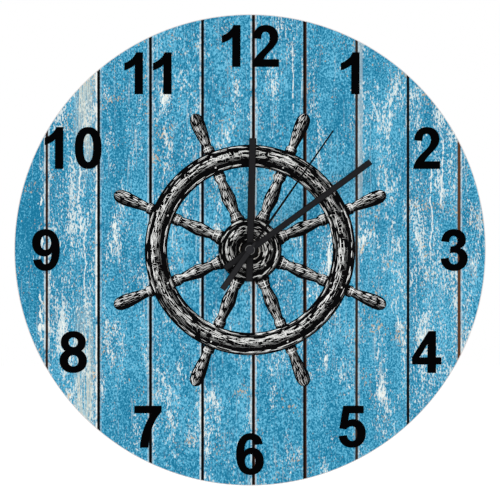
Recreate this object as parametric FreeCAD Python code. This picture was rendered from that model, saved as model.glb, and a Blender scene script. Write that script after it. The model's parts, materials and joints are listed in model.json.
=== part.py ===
import FreeCAD, Part
import math
import os
from dataclasses import dataclass

# Round printed wall clock: three hands and a quartz movement on a round board.
#
# Frame: the origin lies on the wall plane, straight behind the hand arbor. X points to the
# viewer's right, Z up, and the face looks towards -Y. A place in the stack is given by its
# depth, the distance that it stands out from the wall plane, so y is minus the depth.
# Plane points are pairs (x, z). Angles of hands run clockwise from twelve, as a clock's do.
# Lengths are in millimetres.

Vector = FreeCAD.Vector
OUT_FOLDER = "parts"
FULL_TURN = 360.0
STRAIGHT_UP = 90.0          # direction of +Z, anticlockwise from +X

# Board and printed face
BOARD_DIAMETER = 304.8
BOARD_THICKNESS = 5.0
BOARD_EDGE_CHAMFER = 0.6
PRINT_THICKNESS = 0.2
PRINT_MARGIN = 0.6          # bare rim of the board outside the print

# Fits and running gaps
RUNNING_CLEARANCE = 0.05    # radial, shaft in its bearing
LOOSE_CLEARANCE = 0.15      # radial, a piece that is only slipped over another
END_SHAKE = 0.1             # an arbor's end to the floor of its bearing
SIDE_GAP = 0.6              # between a wheel's tips and its neighbours
WALL_GAP = 0.2              # between a plate's edge and the case
CUT_OVERRUN = 1.0           # a cutter reaches this far past the face that it cuts

# Battery, size AA
CELL_DIAMETER = 14.5
CELL_LENGTH = 50.5
CELL_EDGE_RADIUS = 0.6
CELL_CAP_DIAMETER = 5.5
CELL_CAP_HEIGHT = 1.0
CELL_BACK_RECESS = 0.4      # from the wall plane to the cell
BAY_CLEARANCE = 0.4         # round the cell
CONTACT_ROOM = 1.25         # between the cell's ends and the case

# Movement case
CASE_WALL = 1.5
CASE_FRONT_WALL = 1.2
CASE_CORNER_RADIUS = 3.0
COVER_THICKNESS = 1.2
COVER_EDGE_FILLET = 0.5
PARTITION_THICKNESS = 1.0
POST_RADIUS = 1.5
BEARING_BOSS_WALL = 0.9
BEARING_BOSS_HEIGHT = 0.8
BLIND_BORE_DEPTH = 0.7
MARK_DEPTH = 0.3            # plus, minus and arrow sunk in the cover
MARK_LENGTH = 3.2
MARK_STROKE = 0.7
MARK_ARC_RADIUS = 7.4
MARK_ARC_SWEEP = 70.0
MARK_HEAD_LENGTH = 1.6
SPARE_ROOM_ABOVE = 4.65     # between the coil and the case's top wall

# Layers of the wheel train, counted from the face backwards
LAYER_GAP = 0.4
WHEEL_THICKNESS = 1.0
ARBOR_RADIUS = 0.4
TRAIN_PLATE_THICKNESS = 0.8
CLUTCH_WASHER_THICKNESS = 0.3
CLUTCH_WASHER_WIDTH = 1.4
CLUTCH_HUB_RADIUS = 1.5

# Wheel train: the pitch of each pair follows from its centre distance and tooth counts
THIRD_DISTANCE = 7.6
THIRD_DIRECTION = 135.0     # directions run anticlockwise from +X, seen from in front
MOTION_DISTANCE = 8.0
MOTION_DIRECTION = 0.0
KNOB_DISTANCE = 8.0
KNOB_DIRECTION = 0.0
INTERMEDIATE_DISTANCE = 7.0
INTERMEDIATE_DIRECTION = 45.0
ROTOR_DISTANCE = 6.0
ROTOR_DIRECTION = 60.0
SECOND_PINION_TEETH, THIRD_WHEEL_TEETH = 8, 60
THIRD_PINION_TEETH, CENTRE_WHEEL_TEETH = 8, 64
INTERMEDIATE_PINION_TEETH, SECOND_WHEEL_TEETH = 8, 48
ROTOR_PINION_TEETH, INTERMEDIATE_WHEEL_TEETH = 8, 40
MINUTE_PINION_TEETH, MOTION_WHEEL_TEETH = 12, 36
MOTION_PINION_TEETH, HOUR_WHEEL_TEETH = 10, 40
KNOB_PINION_TEETH = 12

# Tooth forms, as shares of the pair's module
WHEEL_ADDENDUM_SHARE = 0.95
WHEEL_DEDENDUM_SHARE = 1.2
WHEEL_TIP_HALF_SHARE = 0.25
WHEEL_PITCH_HALF_SHARE = 0.60
WHEEL_ROOT_HALF_SHARE = 0.70
PINION_ADDENDUM_SHARE = 0.6
PINION_DEDENDUM_SHARE = 1.25
PINION_TIP_HALF_SHARE = 0.22
PINION_PITCH_HALF_SHARE = 0.48
PINION_ROOT_HALF_SHARE = 0.36

# Stepping motor
MAGNET_RADIUS = 2.6
MAGNET_THICKNESS = 1.7
STATOR_AIR_GAP = 0.5
STATOR_WEB = 1.1
STATOR_THICKNESS = 0.8
STATOR_SPLIT = 0.6
STATOR_REACH = 21.0
STATOR_ARM_WIDTH = 4.0
CORE_HEIGHT = 3.0
CORE_THICKNESS = 1.0
COIL_GAP = 2.5              # between the pole plates and the coil
BOBBIN_TUBE_RADIUS = 1.9
BOBBIN_FLANGE_RADIUS = 2.5
BOBBIN_FLANGE_THICKNESS = 0.6
BOBBIN_END_GAP = 1.0
WINDING_RADIUS = 2.35

# Circuit board
CIRCUIT_THICKNESS = 1.0
CIRCUIT_STRIP_HEIGHT = 2.4
CIRCUIT_BLOCK_HEIGHT = 13.0
CHIP_RADIUS = 2.5
CHIP_HEIGHT = 1.0
CRYSTAL_RADIUS = 1.0
CRYSTAL_LENGTH = 6.0

# Battery contacts
CONTACT_THICKNESS = 0.4
CONTACT_WIDTH = 8.0
CONTACT_TAIL_WIDTH = 2.6
CONTACT_DIMPLE_RADIUS = 2.0
CONTACT_GAP = 0.05
LEAF_HEIGHT = 9.0

# Bush, nut, washers and hanger
BUSH_RADIUS = 4.0
BUSH_FLANGE_RADIUS = 5.5
BUSH_FLANGE_THICKNESS = 0.8
BUSH_THREAD_PITCH = 0.75
BUSH_THREAD_DEPTH = 0.35
BUSH_PROTRUSION = 0.4       # past the nut
NUT_RADIUS = 4.95
NUT_HEIGHT = 2.0
NUT_SLOT_WIDTH = 1.2
NUT_SLOT_DEPTH = 0.7
NUT_CLEARANCE = 0.02
FRONT_WASHER_RADIUS = 5.0
FRONT_WASHER_THICKNESS = 0.5
GASKET_RADIUS = 12.0
GASKET_THICKNESS = 0.8
HANGER_THICKNESS = 1.0
HANGER_WIDTH = 18.0
HANGER_FOOT = 9.0           # below the arbor
HANGER_BACK_RECESS = 1.0    # from the wall plane to the tab
HANGER_BEND_RADIUS = 0.6
HANGER_CORNER_RADIUS = 4.0
KEYHOLE_RADIUS = 4.5
KEYHOLE_SLOT_WIDTH = 4.0
KEYHOLE_SLOT_RISE = 6.5     # from the hole's centre to the centre of the slot's round end
KEYHOLE_FLOOR = 4.3         # metal below the hole, above the shelf
KEYHOLE_ROOF = 4.0          # metal above the slot

# Hand arbors
HOUR_TUBE_RADIUS = 2.55
MINUTE_TUBE_RADIUS = 1.7
SECOND_SHAFT_RADIUS = 0.5
TUBE_PROUD = 0.3            # a tube's end past the hand that it carries
HAND_RUNNING_GAP = 0.3      # between one hand's collet and what lies behind it

# Hands
HAND_THICKNESS = 0.5
HUB_RADIUS = 5.1
COLLET_WALL = 1.1
HOUR_ANGLE, HOUR_TIP, HOUR_TAIL, HOUR_WIDTH, HOUR_COLLET = 1.45, 72.0, 20.2, 4.6, 1.5
MINUTE_ANGLE, MINUTE_TIP, MINUTE_TAIL, MINUTE_WIDTH, MINUTE_COLLET = 53.8, 96.0, 20.0, 4.0, 1.2
SECOND_ANGLE, SECOND_TIP, SECOND_TAIL, SECOND_COLLET = 34.9, 93.4, 30.8, 0.8
SECOND_THICKNESS = 0.3
SECOND_ROOT_WIDTH = 1.7
SECOND_POINT_WIDTH = 0.95
SECOND_TAIL_WIDTH = 4.0
SECOND_HUB_RADIUS = 2.75
SECOND_COLLET_RADIUS = 3.1
SECOND_COLLET_RIM = 0.25
CAP_RADIUS = 2.5
CAP_HEIGHT = 0.5
CAP_DIMPLE_RADIUS = 1.5
CAP_DIMPLE_DEPTH = 0.15

# Set knob
KNOB_RADIUS = 4.5
KNOB_THICKNESS = 1.6
KNOB_BACK_RECESS = 0.5      # from the wall plane to the knob
KNOB_SIDE_GAP = 0.5
KNOB_SHAFT_RADIUS = 1.0
KNOB_CUP_WALL = 0.8
KNOB_FLOOR_GAP = 0.3
KNOB_RIBS = 28
KNOB_RIB_DEPTH = 0.25
KNOB_DISH_RADIUS = 3.2
KNOB_DISH_DEPTH = 0.4


@dataclass(frozen=True)
class Pair:
    """A wheel and the pinion that it meshes with. Both share one module, which follows from the distance."""

    distance: float
    pinion_teeth: int
    wheel_teeth: int

    @property
    def module(self):
        return 2 * self.distance / (self.pinion_teeth + self.wheel_teeth)

    @property
    def wheel_tip(self):
        return self.module * (self.wheel_teeth / 2 + WHEEL_ADDENDUM_SHARE)

    @property
    def pinion_tip(self):
        return self.module * (self.pinion_teeth / 2 + PINION_ADDENDUM_SHARE)


THIRD_PAIR = Pair(THIRD_DISTANCE, SECOND_PINION_TEETH, THIRD_WHEEL_TEETH)
CENTRE_PAIR = Pair(THIRD_DISTANCE, THIRD_PINION_TEETH, CENTRE_WHEEL_TEETH)
SECOND_PAIR = Pair(INTERMEDIATE_DISTANCE, INTERMEDIATE_PINION_TEETH, SECOND_WHEEL_TEETH)
ROTOR_PAIR = Pair(ROTOR_DISTANCE, ROTOR_PINION_TEETH, INTERMEDIATE_WHEEL_TEETH)
MOTION_PAIR = Pair(MOTION_DISTANCE, MINUTE_PINION_TEETH, MOTION_WHEEL_TEETH)
HOUR_PAIR = Pair(MOTION_DISTANCE, MOTION_PINION_TEETH, HOUR_WHEEL_TEETH)
KNOB_PAIR = Pair(KNOB_DISTANCE, KNOB_PINION_TEETH, MOTION_WHEEL_TEETH)


def polar(centre, distance, direction):
    """The plane point at a distance from a centre, in a direction anticlockwise from +X."""
    turn = math.radians(direction)
    return (centre[0] + distance * math.cos(turn), centre[1] + distance * math.sin(turn))


# Axes of the train
CENTRE = (0.0, 0.0)
THIRD_AXIS = polar(CENTRE, THIRD_DISTANCE, THIRD_DIRECTION)
MOTION_AXIS = polar(CENTRE, MOTION_DISTANCE, MOTION_DIRECTION)
KNOB_AXIS = polar(MOTION_AXIS, KNOB_DISTANCE, KNOB_DIRECTION)
INTERMEDIATE_AXIS = polar(CENTRE, INTERMEDIATE_DISTANCE, INTERMEDIATE_DIRECTION)
ROTOR_AXIS = polar(INTERMEDIATE_AXIS, ROTOR_DISTANCE, ROTOR_DIRECTION)

# Case, worked out from what it holds
CELL_RADIUS = CELL_DIAMETER / 2
KNOB_CUP_RADIUS = KNOB_RADIUS + KNOB_SIDE_GAP + KNOB_CUP_WALL
KNOB_CUP_FLOOR = KNOB_BACK_RECESS + KNOB_THICKNESS + KNOB_FLOOR_GAP
STATOR_HALF_HEIGHT = MAGNET_RADIUS + STATOR_AIR_GAP + STATOR_WEB
BAY_HEIGHT = CELL_DIAMETER + 2 * BAY_CLEARANCE
BAY_DEPTH = CELL_BACK_RECESS + CELL_DIAMETER + BAY_CLEARANCE
WIDEST_CENTRED = max(SECOND_PAIR.wheel_tip, CENTRE_PAIR.wheel_tip, HOUR_PAIR.wheel_tip)
ROOM_BELOW = WIDEST_CENTRED + SIDE_GAP + CIRCUIT_STRIP_HEIGHT + WALL_GAP
COIL_HEIGHT = ROTOR_AXIS[1] + STATOR_HALF_HEIGHT + COIL_GAP + BOBBIN_FLANGE_RADIUS
ROOM_ABOVE = COIL_HEIGHT + BOBBIN_FLANGE_RADIUS + SPARE_ROOM_ABOVE
ROOM_BESIDE = max(
    CELL_LENGTH / 2 + CONTACT_ROOM,
    STATOR_REACH + SIDE_GAP + 2 * POST_RADIUS + WALL_GAP,
    KNOB_AXIS[0] + KNOB_CUP_RADIUS + SIDE_GAP,
)
CASE_TOP = ROOM_ABOVE + CASE_WALL
BAY_TOP = -ROOM_BELOW - PARTITION_THICKNESS
BAY_BOTTOM = BAY_TOP - BAY_HEIGHT
CASE_BOTTOM = BAY_BOTTOM - CASE_WALL
CASE_SIDE = ROOM_BESIDE + CASE_WALL
CELL_AXIS_HEIGHT = (BAY_TOP + BAY_BOTTOM) / 2
CELL_AXIS_DEPTH = CELL_BACK_RECESS + CELL_RADIUS

# Depths of the train, from the inside of the case's front wall backwards
WHEEL_LAYERS = 6            # hour, motion, centre and third wheel, then second and intermediate wheel
WHEEL_STACK = (
    BUSH_FLANGE_THICKNESS
    + WHEEL_LAYERS * (LAYER_GAP + WHEEL_THICKNESS)
    + LAYER_GAP
    + TRAIN_PLATE_THICKNESS
)
TRAIN_STACK = WHEEL_STACK + LAYER_GAP + MAGNET_THICKNESS + LAYER_GAP
COIL_STACK = (
    WHEEL_STACK
    + LAYER_GAP
    + (MAGNET_THICKNESS - STATOR_THICKNESS) / 2
    - CORE_THICKNESS / 2
    + BOBBIN_FLANGE_RADIUS
)
REAR_ROOM = COVER_THICKNESS + BEARING_BOSS_HEIGHT
FRONT_INSIDE = max(BAY_DEPTH, REAR_ROOM + TRAIN_STACK, COVER_THICKNESS + WALL_GAP + COIL_STACK)
CASE_DEPTH = FRONT_INSIDE + CASE_FRONT_WALL
BUSH_FLANGE_REAR = FRONT_INSIDE - BUSH_FLANGE_THICKNESS
HOUR_LAYER = BUSH_FLANGE_REAR - LAYER_GAP - WHEEL_THICKNESS
MOTION_LAYER = HOUR_LAYER - LAYER_GAP - WHEEL_THICKNESS
CENTRE_LAYER = MOTION_LAYER - LAYER_GAP - WHEEL_THICKNESS
THIRD_LAYER = CENTRE_LAYER - LAYER_GAP - WHEEL_THICKNESS
PLATE_FRONT = THIRD_LAYER - LAYER_GAP
PLATE_REAR = PLATE_FRONT - TRAIN_PLATE_THICKNESS
SECOND_LAYER = PLATE_REAR - LAYER_GAP - WHEEL_THICKNESS
INTERMEDIATE_LAYER = SECOND_LAYER - LAYER_GAP - WHEEL_THICKNESS
MAGNET_FRONT = INTERMEDIATE_LAYER - LAYER_GAP
MAGNET_REAR = MAGNET_FRONT - MAGNET_THICKNESS
STATOR_REAR = (MAGNET_FRONT + MAGNET_REAR - STATOR_THICKNESS) / 2
STATOR_FRONT = STATOR_REAR + STATOR_THICKNESS
CORE_FRONT = STATOR_FRONT + CORE_THICKNESS
COIL_DEPTH = (STATOR_FRONT + CORE_FRONT) / 2
CIRCUIT_REAR = PLATE_REAR - CIRCUIT_THICKNESS

# Depths of the stack in front of the case
HANGER_FRONT = CASE_DEPTH + HANGER_THICKNESS
BOARD_REAR = HANGER_FRONT + GASKET_THICKNESS
BOARD_FRONT = BOARD_REAR + BOARD_THICKNESS
FACE_FRONT = BOARD_FRONT + PRINT_THICKNESS
WASHER_FRONT = FACE_FRONT + FRONT_WASHER_THICKNESS
NUT_FRONT = WASHER_FRONT + NUT_HEIGHT
BUSH_FRONT = NUT_FRONT + BUSH_PROTRUSION
HOUR_COLLET_REAR = BUSH_FRONT + HAND_RUNNING_GAP
HOUR_HAND_REAR = HOUR_COLLET_REAR + HOUR_COLLET
HOUR_HAND_FRONT = HOUR_HAND_REAR + HAND_THICKNESS
HOUR_TUBE_FRONT = HOUR_HAND_FRONT + TUBE_PROUD
MINUTE_COLLET_REAR = HOUR_TUBE_FRONT + HAND_RUNNING_GAP
MINUTE_HAND_REAR = MINUTE_COLLET_REAR + MINUTE_COLLET
MINUTE_HAND_FRONT = MINUTE_HAND_REAR + HAND_THICKNESS
MINUTE_TUBE_FRONT = MINUTE_HAND_FRONT + TUBE_PROUD
SECOND_COLLET_REAR = MINUTE_TUBE_FRONT + HAND_RUNNING_GAP
SECOND_HAND_REAR = SECOND_COLLET_REAR + SECOND_COLLET
SECOND_HAND_FRONT = SECOND_HAND_REAR + SECOND_THICKNESS
SECOND_SHAFT_FRONT = SECOND_HAND_FRONT

# Hanger, worked out from the case
SHELF_BOTTOM = CASE_TOP + HANGER_BEND_RADIUS + WALL_GAP
SHELF_TOP = SHELF_BOTTOM + HANGER_THICKNESS
KEYHOLE_HEIGHT = SHELF_TOP + KEYHOLE_FLOOR + KEYHOLE_RADIUS
KEYHOLE_SLOT_TOP = KEYHOLE_HEIGHT + KEYHOLE_SLOT_RISE
HANGER_TOP = KEYHOLE_SLOT_TOP + KEYHOLE_SLOT_WIDTH / 2 + KEYHOLE_ROOF
POST_INSET = POST_RADIUS + WALL_GAP


def disc(axis, radius, rear, front):
    """A round solid about an axis of the plane, from one depth to another."""
    base = Vector(axis[0], -rear, axis[1])
    return Part.makeCylinder(radius, front - rear, base, Vector(0, -1, 0))


def ring(axis, outer, inner, rear, front):
    """A disc with a round bore right through it."""
    return disc(axis, outer, rear, front).cut(disc(axis, inner, rear - CUT_OVERRUN, front + CUT_OVERRUN))


def block(low, high, rear, front):
    """A rectangular solid between two plane corners and two depths."""
    base = Vector(low[0], -front, low[1])
    return Part.makeBox(high[0] - low[0], front - rear, high[1] - low[1], base)


def prism(outline, rear, front):
    """A solid with a straight-sided outline of plane points, between two depths."""
    corners = [Vector(x, -rear, z) for x, z in outline]
    face = Part.Face(Part.makePolygon(corners + corners[:1]))
    return face.extrude(Vector(0, rear - front, 0))


def rounded_block(low, high, radius, rear, front):
    """A block whose four edges along the depth are rounded."""
    solid = block(low, high, rear, front)
    edges = [edge for edge in solid.Edges if edge.BoundBox.YLength > (front - rear) / 2]
    return solid.makeFillet(radius, edges)


def joined(solids):
    """One solid out of several that touch or overlap."""
    solids = list(solids)
    return solids[0].multiFuse(solids[1:]).removeSplitter()


def tooth_outline(axis, teeth, tooth_turn, levels):
    """Outline of a toothed wheel: each tooth steps through (radius, half width) levels, root to tip."""
    outline = []
    for index in range(teeth):
        middle = tooth_turn + 2 * math.pi * index / teeth
        rising = [(radius, -half / radius) for radius, half in levels]
        falling = [(radius, half / radius) for radius, half in reversed(levels)]
        for radius, turn in rising + falling:
            outline.append((
                axis[0] + radius * math.cos(middle + turn),
                axis[1] + radius * math.sin(middle + turn),
            ))
    return outline


def wheel(pair, axis, tooth_turn, layer):
    """The larger wheel of a pair, in the layer that starts at the given depth."""
    module, pitch = pair.module, pair.module * pair.wheel_teeth / 2
    levels = [
        (pitch - WHEEL_DEDENDUM_SHARE * module, WHEEL_ROOT_HALF_SHARE * module),
        (pitch, WHEEL_PITCH_HALF_SHARE * module),
        (pair.wheel_tip, WHEEL_TIP_HALF_SHARE * module),
    ]
    outline = tooth_outline(axis, pair.wheel_teeth, tooth_turn, levels)
    return prism(outline, layer, layer + WHEEL_THICKNESS)


def pinion(pair, axis, tooth_turn, rear, front):
    """The smaller wheel of a pair, between two depths."""
    module, pitch = pair.module, pair.module * pair.pinion_teeth / 2
    levels = [
        (pitch - PINION_DEDENDUM_SHARE * module, PINION_ROOT_HALF_SHARE * module),
        (pitch, PINION_PITCH_HALF_SHARE * module),
        (pair.pinion_tip, PINION_TIP_HALF_SHARE * module),
    ]
    return prism(tooth_outline(axis, pair.pinion_teeth, tooth_turn, levels), rear, front)


def meshing_turn(teeth, direction, partner_teeth, partner_turn):
    """Where a wheel's first tooth points, so that its gap meets the partner's tooth.

    The direction is the one from the partner's axis to this wheel's axis, in degrees.
    """
    towards = math.radians(direction)
    pitch_turn = 2 * math.pi / partner_teeth
    ahead = (partner_turn - towards) % pitch_turn
    gap = towards + math.pi - ahead * partner_teeth / teeth
    return gap + math.pi / teeth


# Where the first tooth of each wheel and pinion points, in radians
SECOND_PINION_TURN = 0.0
THIRD_WHEEL_TURN = meshing_turn(THIRD_WHEEL_TEETH, THIRD_DIRECTION, SECOND_PINION_TEETH, SECOND_PINION_TURN)
THIRD_PINION_TURN = 0.0
CENTRE_WHEEL_TURN = meshing_turn(
    CENTRE_WHEEL_TEETH, THIRD_DIRECTION + FULL_TURN / 2, THIRD_PINION_TEETH, THIRD_PINION_TURN)
SECOND_WHEEL_TURN = 0.0
INTERMEDIATE_PINION_TURN = meshing_turn(
    INTERMEDIATE_PINION_TEETH, INTERMEDIATE_DIRECTION, SECOND_WHEEL_TEETH, SECOND_WHEEL_TURN)
INTERMEDIATE_WHEEL_TURN = 0.0
ROTOR_PINION_TURN = meshing_turn(
    ROTOR_PINION_TEETH, ROTOR_DIRECTION, INTERMEDIATE_WHEEL_TEETH, INTERMEDIATE_WHEEL_TURN)
MINUTE_PINION_TURN = 0.0
MOTION_WHEEL_TURN = meshing_turn(
    MOTION_WHEEL_TEETH, MOTION_DIRECTION, MINUTE_PINION_TEETH, MINUTE_PINION_TURN)
MOTION_PINION_TURN = 0.0
HOUR_WHEEL_TURN = meshing_turn(
    HOUR_WHEEL_TEETH, MOTION_DIRECTION + FULL_TURN / 2, MOTION_PINION_TEETH, MOTION_PINION_TURN)
KNOB_PINION_TURN = meshing_turn(KNOB_PINION_TEETH, KNOB_DIRECTION, MOTION_WHEEL_TEETH, MOTION_WHEEL_TURN)


def dial_board():
    """Round board with a chamfered front edge and the bush hole."""
    radius = BOARD_DIAMETER / 2
    board = disc(CENTRE, radius, BOARD_REAR, BOARD_FRONT)
    front_edges = [edge for edge in board.Edges if edge.BoundBox.YMax < -BOARD_FRONT + BOARD_EDGE_CHAMFER]
    board = board.makeChamfer(BOARD_EDGE_CHAMFER, front_edges)
    hole = disc(CENTRE, BUSH_RADIUS + LOOSE_CLEARANCE, BOARD_REAR - CUT_OVERRUN, BOARD_FRONT + CUT_OVERRUN)
    return board.cut(hole)


def dial_face_print():
    """Thin printed film on the board's front."""
    outer = BOARD_DIAMETER / 2 - PRINT_MARGIN
    return ring(CENTRE, outer, BUSH_RADIUS + LOOSE_CLEARANCE, BOARD_FRONT, FACE_FRONT)


def case_outline(rear, front):
    """The outer block of the case between two depths."""
    return rounded_block((-CASE_SIDE, CASE_BOTTOM), (CASE_SIDE, CASE_TOP), CASE_CORNER_RADIUS, rear, front)


def post_places():
    """Axes of the four posts that carry the train plate, the upper two first."""
    side = ROOM_BESIDE - POST_INSET
    return [
        (-side, ROOM_ABOVE - POST_INSET),
        (side, ROOM_ABOVE - POST_INSET),
        (-side, POST_INSET - ROOM_BELOW),
        (side, POST_INSET - ROOM_BELOW),
    ]


def movement_case():
    """Front shell of the movement: bay, partition, posts and front bearings."""
    shell = case_outline(COVER_THICKNESS, CASE_DEPTH)
    rear = COVER_THICKNESS - CUT_OVERRUN
    train_room = block((-ROOM_BESIDE, -ROOM_BELOW), (ROOM_BESIDE, ROOM_ABOVE), rear, FRONT_INSIDE)
    bay = block((-ROOM_BESIDE, BAY_BOTTOM), (ROOM_BESIDE, BAY_TOP), rear, FRONT_INSIDE)
    shell = shell.cut(train_room).cut(bay)
    tail_inside = ROOM_BESIDE - CONTACT_THICKNESS - WALL_GAP
    for low, high in ((-ROOM_BESIDE, -tail_inside), (tail_inside, ROOM_BESIDE)):
        slot_low, slot_high = (low, BAY_TOP - CUT_OVERRUN), (high, CUT_OVERRUN - ROOM_BELOW)
        shell = shell.cut(block(slot_low, slot_high, rear, PLATE_REAR + WALL_GAP))
    shell = joined([shell] + [disc(place, POST_RADIUS, PLATE_FRONT, FRONT_INSIDE) for place in post_places()])
    shell = shell.cut(disc(CENTRE, BUSH_RADIUS, FRONT_INSIDE - CUT_OVERRUN, CASE_DEPTH + CUT_OVERRUN))
    for axis in (THIRD_AXIS, MOTION_AXIS, KNOB_AXIS):
        bore = disc(axis, ARBOR_RADIUS + RUNNING_CLEARANCE, FRONT_INSIDE - CUT_OVERRUN,
                    FRONT_INSIDE + BLIND_BORE_DEPTH)
        shell = shell.cut(bore)
    return shell


def cover_marks():
    """Cutters for the plus, the minus and the turning arrow on the cover."""
    rear, front = -CUT_OVERRUN, MARK_DEPTH
    half, stroke = MARK_LENGTH / 2, MARK_STROKE / 2
    mark_height = BAY_TOP + PARTITION_THICKNESS + CIRCUIT_STRIP_HEIGHT
    plus = (CELL_LENGTH / 2 - MARK_LENGTH, mark_height)
    minus = (-plus[0], mark_height)
    marks = [
        block((plus[0] - half, plus[1] - stroke), (plus[0] + half, plus[1] + stroke), rear, front),
        block((plus[0] - stroke, plus[1] - half), (plus[0] + stroke, plus[1] + half), rear, front),
        block((minus[0] - half, minus[1] - stroke), (minus[0] + half, minus[1] + stroke), rear, front),
    ]
    arrow_radius = max(MARK_ARC_RADIUS, KNOB_CUP_RADIUS + SIDE_GAP)
    band = ring(KNOB_AXIS, arrow_radius + stroke, arrow_radius - stroke, rear, front)
    start = STRAIGHT_UP - MARK_ARC_SWEEP / 2
    far = 2 * arrow_radius
    wedge = prism(
        [KNOB_AXIS] + [polar(KNOB_AXIS, far, start + share * MARK_ARC_SWEEP) for share in (0.0, 0.5, 1.0)],
        rear, front)
    marks.append(band.common(wedge))
    tip_turn = start - math.degrees(MARK_HEAD_LENGTH / arrow_radius)
    marks.append(prism([
        polar(KNOB_AXIS, arrow_radius, tip_turn),
        polar(KNOB_AXIS, arrow_radius + MARK_STROKE, start),
        polar(KNOB_AXIS, arrow_radius - MARK_STROKE, start),
    ], rear, front))
    return marks


def movement_cover():
    """Back cover with the bay opening, the knob's cup, rear bearings and upper posts."""
    cover = case_outline(0.0, COVER_THICKNESS)
    back_edges = [edge for edge in cover.Edges if edge.BoundBox.YMin > -COVER_EDGE_FILLET]
    cover = cover.makeFillet(COVER_EDGE_FILLET, back_edges)
    bay_low, bay_high = (-ROOM_BESIDE, BAY_BOTTOM), (ROOM_BESIDE, BAY_TOP)
    cover = cover.cut(block(bay_low, bay_high, -CUT_OVERRUN, COVER_THICKNESS + CUT_OVERRUN))
    boss_radius = ARBOR_RADIUS + RUNNING_CLEARANCE + BEARING_BOSS_WALL
    boss_front = COVER_THICKNESS + BEARING_BOSS_HEIGHT
    bosses = [disc(axis, boss_radius, 0.0, boss_front) for axis in (CENTRE, INTERMEDIATE_AXIS, ROTOR_AXIS)]
    cup = disc(KNOB_AXIS, KNOB_CUP_RADIUS, 0.0, KNOB_CUP_FLOOR + KNOB_CUP_WALL)
    posts = [disc(place, POST_RADIUS, 0.0, PLATE_REAR) for place in post_places()[:2]]
    steadies = [disc((side, COIL_HEIGHT), POST_RADIUS, 0.0, STATOR_REAR) for side in arm_middles()]
    cover = joined([cover, cup] + bosses + posts + steadies)
    cover = cover.cut(disc(KNOB_AXIS, KNOB_RADIUS + KNOB_SIDE_GAP, -CUT_OVERRUN, KNOB_CUP_FLOOR))
    shaft_hole = disc(KNOB_AXIS, KNOB_SHAFT_RADIUS + RUNNING_CLEARANCE, -CUT_OVERRUN,
                      KNOB_CUP_FLOOR + KNOB_CUP_WALL + CUT_OVERRUN)
    cover = cover.cut(shaft_hole)
    bore_floor = boss_front - BLIND_BORE_DEPTH
    shafts = ((CENTRE, SECOND_SHAFT_RADIUS), (INTERMEDIATE_AXIS, ARBOR_RADIUS), (ROTOR_AXIS, ARBOR_RADIUS))
    for axis, radius in shafts:
        cover = cover.cut(disc(axis, radius + RUNNING_CLEARANCE, bore_floor, boss_front + CUT_OVERRUN))
    for mark in cover_marks():
        cover = cover.cut(mark)
    return cover


def train_plate():
    """Middle plate: bearings on both sides and the two pegs that carry the coil core."""
    side = ROOM_BESIDE - WALL_GAP
    plate = block((-side, WALL_GAP - ROOM_BELOW), (side, ROOM_ABOVE - WALL_GAP), PLATE_REAR, PLATE_FRONT)
    pegs = [disc((middle, COIL_HEIGHT), POST_RADIUS, CORE_FRONT, PLATE_REAR) for middle in arm_middles()]
    plate = joined([plate] + pegs)
    shafts = (
        (CENTRE, SECOND_SHAFT_RADIUS),
        (THIRD_AXIS, ARBOR_RADIUS),
        (MOTION_AXIS, ARBOR_RADIUS),
        (INTERMEDIATE_AXIS, ARBOR_RADIUS),
        (ROTOR_AXIS, ARBOR_RADIUS),
        (KNOB_AXIS, KNOB_SHAFT_RADIUS),
    )
    for axis, radius in shafts:
        bore = disc(axis, radius + RUNNING_CLEARANCE, PLATE_REAR - CUT_OVERRUN, PLATE_FRONT + CUT_OVERRUN)
        plate = plate.cut(bore)
    return plate


def arm_middles():
    """How far to the left and right the middles of the stator's arms lie."""
    middle = STATOR_REACH - STATOR_ARM_WIDTH / 2
    return (-middle, middle)


def stator_plate(side):
    """One pole plate, on the left for side -1 and on the right for side 1."""
    centre_x, centre_z = ROTOR_AXIS
    inner, outer = centre_x + side * STATOR_SPLIT / 2, side * STATOR_REACH
    arm_inner = outer - side * STATOR_ARM_WIDTH
    low, high = centre_z - STATOR_HALF_HEIGHT, centre_z + STATOR_HALF_HEIGHT
    pole = block((min(inner, outer), low), (max(inner, outer), high), STATOR_REAR, STATOR_FRONT)
    arm_low, arm_high = (min(arm_inner, outer), low), (max(arm_inner, outer), COIL_HEIGHT + CORE_HEIGHT / 2)
    arm = block(arm_low, arm_high, STATOR_REAR, STATOR_FRONT)
    hole_radius = MAGNET_RADIUS + STATOR_AIR_GAP
    hole = disc(ROTOR_AXIS, hole_radius, STATOR_REAR - CUT_OVERRUN, STATOR_FRONT + CUT_OVERRUN)
    return joined([pole, arm]).cut(hole)


def coil_core():
    """Flat iron bar through the bobbin, lying on both arms."""
    low = (-STATOR_REACH, COIL_HEIGHT - CORE_HEIGHT / 2)
    high = (STATOR_REACH, COIL_HEIGHT + CORE_HEIGHT / 2)
    return block(low, high, STATOR_FRONT, CORE_FRONT)


def along_x(radius, start, end, height, depth):
    """A round solid along X."""
    return Part.makeCylinder(radius, end - start, Vector(start, -depth, height), Vector(1, 0, 0))


def bobbin_half_length():
    """From the middle of the coil to the outside of a flange."""
    return STATOR_REACH - STATOR_ARM_WIDTH - BOBBIN_END_GAP


def coil_bobbin():
    """Tube with two flanges on the core."""
    half = bobbin_half_length()
    tube = along_x(BOBBIN_TUBE_RADIUS, -half, half, COIL_HEIGHT, COIL_DEPTH)
    left = along_x(BOBBIN_FLANGE_RADIUS, -half, BOBBIN_FLANGE_THICKNESS - half, COIL_HEIGHT, COIL_DEPTH)
    right = along_x(BOBBIN_FLANGE_RADIUS, half - BOBBIN_FLANGE_THICKNESS, half, COIL_HEIGHT, COIL_DEPTH)
    return joined([tube, left, right]).cut(coil_core())


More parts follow.
